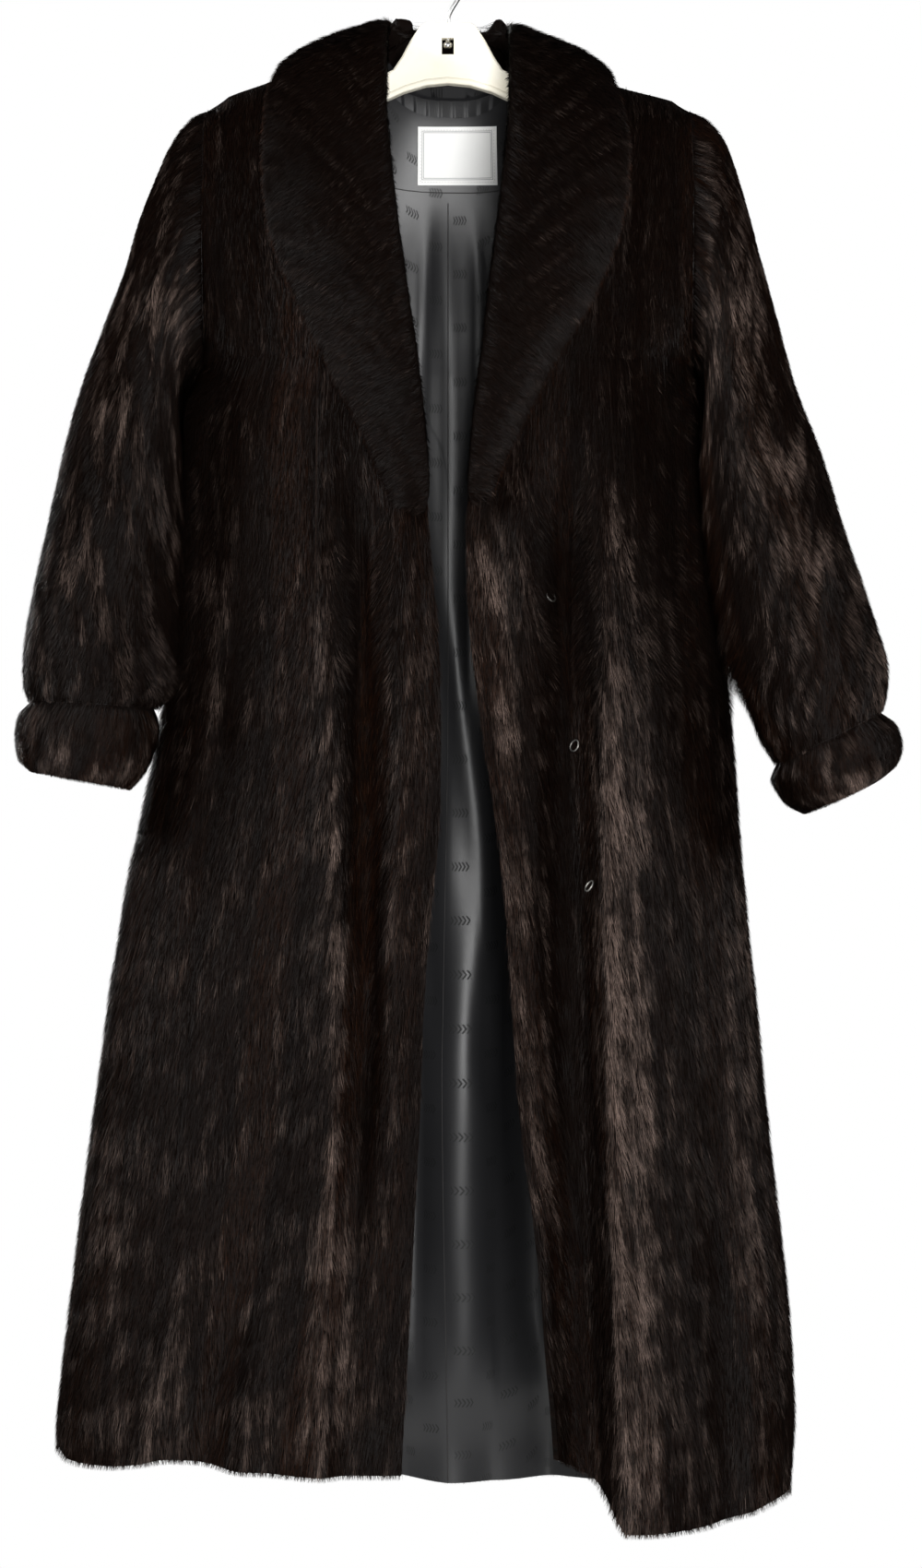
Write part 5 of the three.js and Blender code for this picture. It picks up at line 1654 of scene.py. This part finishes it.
@dataclass
class Lining(Assembly):
    """Lining of the back with its yoke, neck band and label."""

    finer_columns: int = 4
    finer_rows: int = 6
    hem_z: float = -1356.0
    hem_step: float = 1.3
    slack: float = 6.0
    wander: float = 5.0
    hem_share: float = 0.2
    yoke_z: float = -215.0
    low_z: float = -1380.0
    label: tuple = (-29.0, 48.0, -152.0, -206.0)
    label_lift: float = 1.2
    label_thick: float = 0.8
    band_half: float = 56.0
    band_drop: tuple = (5.0, 22.0)
    band_lift: float = 1.3
    band_thick: float = 1.2
    pleats: int = 9
    pleat_depth: float = 1.4
    seam_radius: float = 0.45

    def creased(self, grid: ClothGrid) -> np.ndarray:
        """Depth of the creases and of the turned hem at each point."""
        x = grid.points[..., 0]
        z = grid.points[..., 2]
        total = np.zeros_like(x)
        for t in TROUGHS:
            run = np.clip((t.top_z - z) / (t.top_z - t.low_z), 0, 1)
            wave = self.wander * np.sin(run * 6 + t.top_x)
            centre = mix(t.top_x, t.low_x, run) + wave
            fade = smooth((t.top_z + 10 - z) / 90) * (1 - smooth((t.low_z + 60 - z) / 90))
            total += t.depth * fade * np.exp(-((x - centre) / t.width) ** 2)
        hem = np.exp(-((z - self.hem_z) / 4.0) ** 2) * self.hem_step
        loose = smooth((self.yoke_z - z) / 130) * mix(self.hem_share, 1.0, smooth((z - self.low_z) / 60))
        return np.maximum(self.slack * loose - total, 0) + hem

    def build(self) -> None:
        """Build the linings, the band and the label."""
        grid = self.drape.back(self.finer_rows, self.finer_columns)
        seam = YOKE_ROW * self.finer_rows
        yoke = grid.part(slice(0, seam + 1))
        lower = grid.part(slice(seam, None))
        lower.points = lower.points.copy()
        lower.points[0, :, 2] -= 2 * HALF_SEAM
        start = FUR + LINING_CLEAR
        satin = [self.wardrobe.satin]
        upper = self.mesher.shell("yoke_satin", yoke, start, start + SATIN, satin)
        self.fit(upper, "lining", "lining_yoke")
        self.declare(upper, yoke, [])
        creases = self.creased(lower)
        main = self.mesher.shell("lining_satin", lower, start, start + SATIN, satin, lift=creases)
        self.fit(main, "lining", "lining")
        self.declare(main, lower, [])
        self.seams(yoke, lower, start + SATIN)
        self.build_band()
        self.build_label()

    def seams(self, yoke: ClothGrid, lower: ClothGrid, depth: float) -> None:
        """Lay the felled seams: along the yoke and down the middle of the lining.

        Args:
            yoke: Grid of the yoke lining.
            lower: Grid of the lining below it.
            depth: Depth of the satin's face.
        """
        across = yoke.points[-1] - yoke.normals[-1] * depth
        fold = self.creased(lower)
        middle = lower.points.shape[1] // 2
        down = lower.points[1:, middle] - lower.normals[1:, middle] * (depth + fold[1:, middle, None])
        for name, path in (("yoke_seam", across), ("lining_seam", down)):
            size = np.full(len(path), self.seam_radius)
            cord = self.mesher.rod(name, path, size, 6, self.wardrobe.dark_thread)
            self.fit(cord, "lining")

    def on_back(self, x: np.ndarray, z: np.ndarray) -> ClothGrid:
        """Grid of a small piece that lies on the back at places across and up."""
        y = self.drape.body_y(Face.BACK, x, z)
        normal = self.drape.body_normal(Face.BACK, x + OFF_MIDDLE, z)
        return finish_grid(np.stack([x, y, z], -1), normal)

    def build_band(self) -> None:
        """Build the knife-pleated ribbon round the nape."""
        steps = 8
        u = np.linspace(0, 1, self.pleats * steps + 1)
        v = np.linspace(0, 1, 7)[:, None]
        x = mix(-self.band_half, self.band_half, u)[None, :] * np.ones_like(v)
        z = self.drape.top_z(Face.BACK, x) - mix(*self.band_drop, v)
        band = self.on_back(x, z)
        phase = np.mod(u * self.pleats, 1.0)
        tooth = np.where(phase < 0.85, phase / 0.85, (1 - phase) / 0.15)[None, :]
        flare = 0.45 + 0.55 * v
        base = FUR + LINING_CLEAR + SATIN + self.band_lift
        lift = self.pleat_depth * tooth * flare
        piece = self.mesher.shell(
            "pleated_band", band, base, base + self.band_thick, [self.wardrobe.ribbon], lift=lift,
        )
        self.fit(piece, "ribbon", "neck_band")
        self.declare(piece, band, [], held="gathered")

    def build_label(self) -> None:
        """Build the bare satin label and the stitches that hold it."""
        left, right, top, bottom = self.label
        u = np.linspace(0, 1, 29)
        v = np.linspace(0, 1, 19)[:, None]
        x = mix(left, right, u)[None, :] * np.ones_like(v)
        z = mix(top, bottom, v) * np.ones_like(x)
        piece_grid = self.on_back(x, z)
        base = FUR + LINING_CLEAR + SATIN + self.label_lift
        puff = -0.5 * (np.sin(np.pi * u)[None, :] * np.sin(np.pi * v)) ** 0.5
        piece = self.mesher.shell(
            "label_satin", piece_grid, base, base + self.label_thick, [self.wardrobe.label], lift=-puff,
        )
        self.fit(piece, "label", "label")
        stitches = self.stitch_row(piece_grid, base + self.label_thick)
        self.declare(piece, piece_grid, [stitches], held="laid")

    def stitch_row(self, grid: ClothGrid, depth: float) -> bpy.types.Object:
        """Short stitches round the label.

        Args:
            grid: Surface that the label lies on.
            depth: Depth of the label's face.

        Returns:
            All stitches as one object.
        """
        face = grid.points - grid.normals * (depth + 0.15)
        rows, columns = face.shape[:2]
        edge = [face[1, 1:-1], face[1:-1, -2], face[-2, -2:0:-1], face[-2:0:-1, 1]]
        loop = np.concatenate(edge)
        verts = []
        faces = []
        for k in range(len(loop) - 1):
            a = loop[k]
            b = mix(loop[k], loop[k + 1], 0.62)
            along = unit(b - a)
            out = np.array([0.0, -1.0, 0.0])
            side = np.cross(along, out)
            ring = []
            for place, width in ((a, 0.12), (mix(a, b, 0.5), 0.3), (b, 0.12)):
                for turn in range(6):
                    angle = turn * np.pi / 3
                    ring.append(place + (side * np.cos(angle) + out * np.sin(angle)) * width)
            start = len(verts)
            verts.extend(ring)
            for s in range(2):
                for t in range(6):
                    p = start + s * 6 + t
                    q = start + s * 6 + (t + 1) % 6
                    faces.append((p, q, q + 6, p + 6))
        piece = self.mesher.make("label_stitches", np.array(verts), np.array(faces), [self.wardrobe.thread])
        return self.fit(piece, "label")


@dataclass
class Hardware(Assembly):
    """Hanger, hook and the closure eyes."""

    wire: float = 2.0
    radius: float = 21.0
    start: float = -0.9
    end: float = 3.6
    shank_bottom: float = -91.0
    knob: float = 3.4
    stop: float = 4.0
    eye_radius: float = 5.2
    eye_wire: float = 0.8
    eyes: tuple = ((89.0, -594.0, 0.5, 4.0), (116.0, -727.0, 0.3, 3.9), (128.0, -851.0, 0.6, 3.2))

    def build(self) -> None:
        """Finish the hanger and build the hook and the eyes."""
        hanger = bpy.data.objects["hanger"]
        hanger.data.materials.clear()
        hanger.data.materials.append(self.wardrobe.plastic)
        self.build_hook()
        for number, (x, z, tilt, lift) in enumerate(self.eyes, 1):
            self.build_eye(number, x, z, tilt, lift)

    def build_hook(self) -> None:
        """Build the hook of round wire with its stop and its end knob."""
        centre_z = self.wire - self.radius
        s = np.linspace(0, 1, 40)
        lean = smooth((s - 0.45) / 0.55)
        x0 = self.radius * np.cos(self.start)
        z0 = centre_z + self.radius * np.sin(self.start)
        shank = np.stack([x0 * lean, 0 * s, mix(self.shank_bottom, z0, s)], 1)
        turn = np.linspace(self.start, self.end, 80)[1:]
        bow = np.stack([self.radius * np.cos(turn), 0 * turn, centre_z + self.radius * np.sin(turn)], 1)
        path = np.vstack([shank, bow])
        radius = np.full(len(path), self.wire)
        radius[:4] = self.stop
        radius[4] = self.wire
        radius[0] = self.stop * 0.7
        tail = path[-1] + np.outer(np.linspace(0.2, 1, 9), unit(path[-1] - path[-2]) * self.knob * 1.6)
        ball = self.knob * np.sqrt(np.clip(1 - np.linspace(-0.8, 0.96, 9) ** 2, 0.05, 1))
        path = np.vstack([path, tail])
        radius = np.concatenate([radius, ball])
        hook = self.mesher.rod("hook_wire", path, radius, 20, self.wardrobe.steel)
        self.fit(hook, "steel", "hook")

    def build_eye(self, number: int, x: float, z: float, tilt: float, lift: float) -> None:
        """Build one wire eye.

        Args:
            number: Number of the eye.
            x: Place across.
            z: Height.
            tilt: How far its face turns up.
            lift: Height over the fur.
        """
        face = Face.FRONT
        at = (np.array([x]), np.array([z]))
        normal = self.drape.body_normal(face, *at)[0]
        centre = np.array([x, self.drape.body_y(face, *at)[0], z]) + normal * lift
        facing = unit(normal + np.array([0.0, 0.0, tilt]))
        side = unit(np.cross(np.array([0.0, 0.0, 1.0]), facing))
        up = np.cross(facing, side)
        turn = np.linspace(0, 2 * np.pi, 40, endpoint=False)[:, None]
        path = centre + (side * np.cos(turn) + up * np.sin(turn)) * self.eye_radius
        ring = self.mesher.rod(
            f"closure_ring_{number}", path, np.full(40, self.eye_wire), 12, self.wardrobe.eye, closed=True,
        )
        self.fit(ring, "wire", f"closure_eye_{number}")


@dataclass
class Studio:
    """Camera, floor and soft lights."""

    camera_at: tuple = (0.012, -3.3, -0.761)
    tall: float = 1.428
    floor_z: float = -2.0
    floor_radius: float = 2.2
    room_light: float = 0.08

    def build(self) -> None:
        """Place the camera, the floor and the lights."""
        self.camera()
        self.floor()
        self.lights()

    def camera(self) -> None:
        """Camera level at mid height, as far off as in the photograph."""
        data = bpy.data.cameras.new("camera")
        data.sensor_fit = "VERTICAL"
        data.sensor_height = 36.0
        data.lens = 36.0 * -self.camera_at[1] / self.tall
        data.clip_end = 60.0
        obj = bpy.data.objects.new("camera", data)
        obj.location = self.camera_at
        obj.rotation_euler = (np.pi / 2, 0.0, 0.0)
        bpy.context.collection.objects.link(obj)
        bpy.context.scene.camera = obj

    def floor(self) -> None:
        """Pale round floor with a faint mottle."""
        turn = np.linspace(0, 2 * np.pi, 96, endpoint=False)
        rim = [(self.floor_radius * np.cos(t), self.floor_radius * np.sin(t), self.floor_z) for t in turn]
        mesh = bpy.data.meshes.new("floor")
        mesh.from_pydata(rim, [], [tuple(range(len(rim)))])
        obj = bpy.data.objects.new("floor", mesh)
        bpy.context.collection.objects.link(obj)
        made = bpy.data.materials.new("floor")
        made.use_nodes = True
        bench = NodeBench(made.node_tree)
        place = bench.add("TexCoord").outputs["Object"]
        noise = bench.add("TexNoise", {"Vector": place, "Scale": 3.0, "Detail": 2.0}).outputs[0]
        shader = made.node_tree.nodes["Principled BSDF"]
        shader.inputs["Roughness"].default_value = 0.9
        tone = bench.blend(noise, (0.80, 0.80, 0.79, 1), (0.84, 0.84, 0.83, 1))
        made.node_tree.links.new(tone, shader.inputs["Base Color"])
        mesh.materials.append(made)

    def lights(self) -> None:
        """Soft lights at both sides and above, and a pale room."""
        lamps = (
            ("key", (-2.8, -1.3, 1.1), 1.2, 110.0),
            ("side", (3.0, -0.9, 0.9), 1.2, 80.0),
            ("front", (0.55, -3.5, -0.75), 1.3, 130.0),
            ("back", (-1.6, 3.2, 0.4), 1.8, 120.0),
        )
        target = Vector((0.0, 0.0, -0.7))
        for name, place, size, power in lamps:
            data = bpy.data.lights.new(name, "AREA")
            data.size = size
            data.energy = power
            obj = bpy.data.objects.new(name, data)
            obj.location = place
            obj.rotation_euler = (target - Vector(place)).to_track_quat("-Z", "Y").to_euler()
            bpy.context.collection.objects.link(obj)
        world = bpy.data.worlds.new("room")
        world.use_nodes = True
        bench = NodeBench(world.node_tree)
        room = world.node_tree.nodes["Background"]
        room.inputs[0].default_value = (1.0, 1.0, 1.0, 1)
        seen = bench.add("LightPath").outputs["Is Camera Ray"]
        world.node_tree.links.new(bench.span(seen, 0.0, 1.0, self.room_light, 1.0), room.inputs[1])
        bpy.context.scene.world = world
        bpy.context.scene.view_settings.view_transform = "Standard"


def write_sizes() -> None:
    """Bring the view layer up to date."""
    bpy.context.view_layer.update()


def main() -> None:
    """Dress the coat and set the studio."""
    logging.basicConfig(level=logging.INFO, format="%(name)s %(message)s")
    Studio().build()
    drape = Drape()
    wardrobe = Wardrobe()
    for part in (Body, Sleeves, Collar, Lining, Hardware):
        part(drape, wardrobe).build()
    write_sizes()


if __name__ == "__main__":
    main()
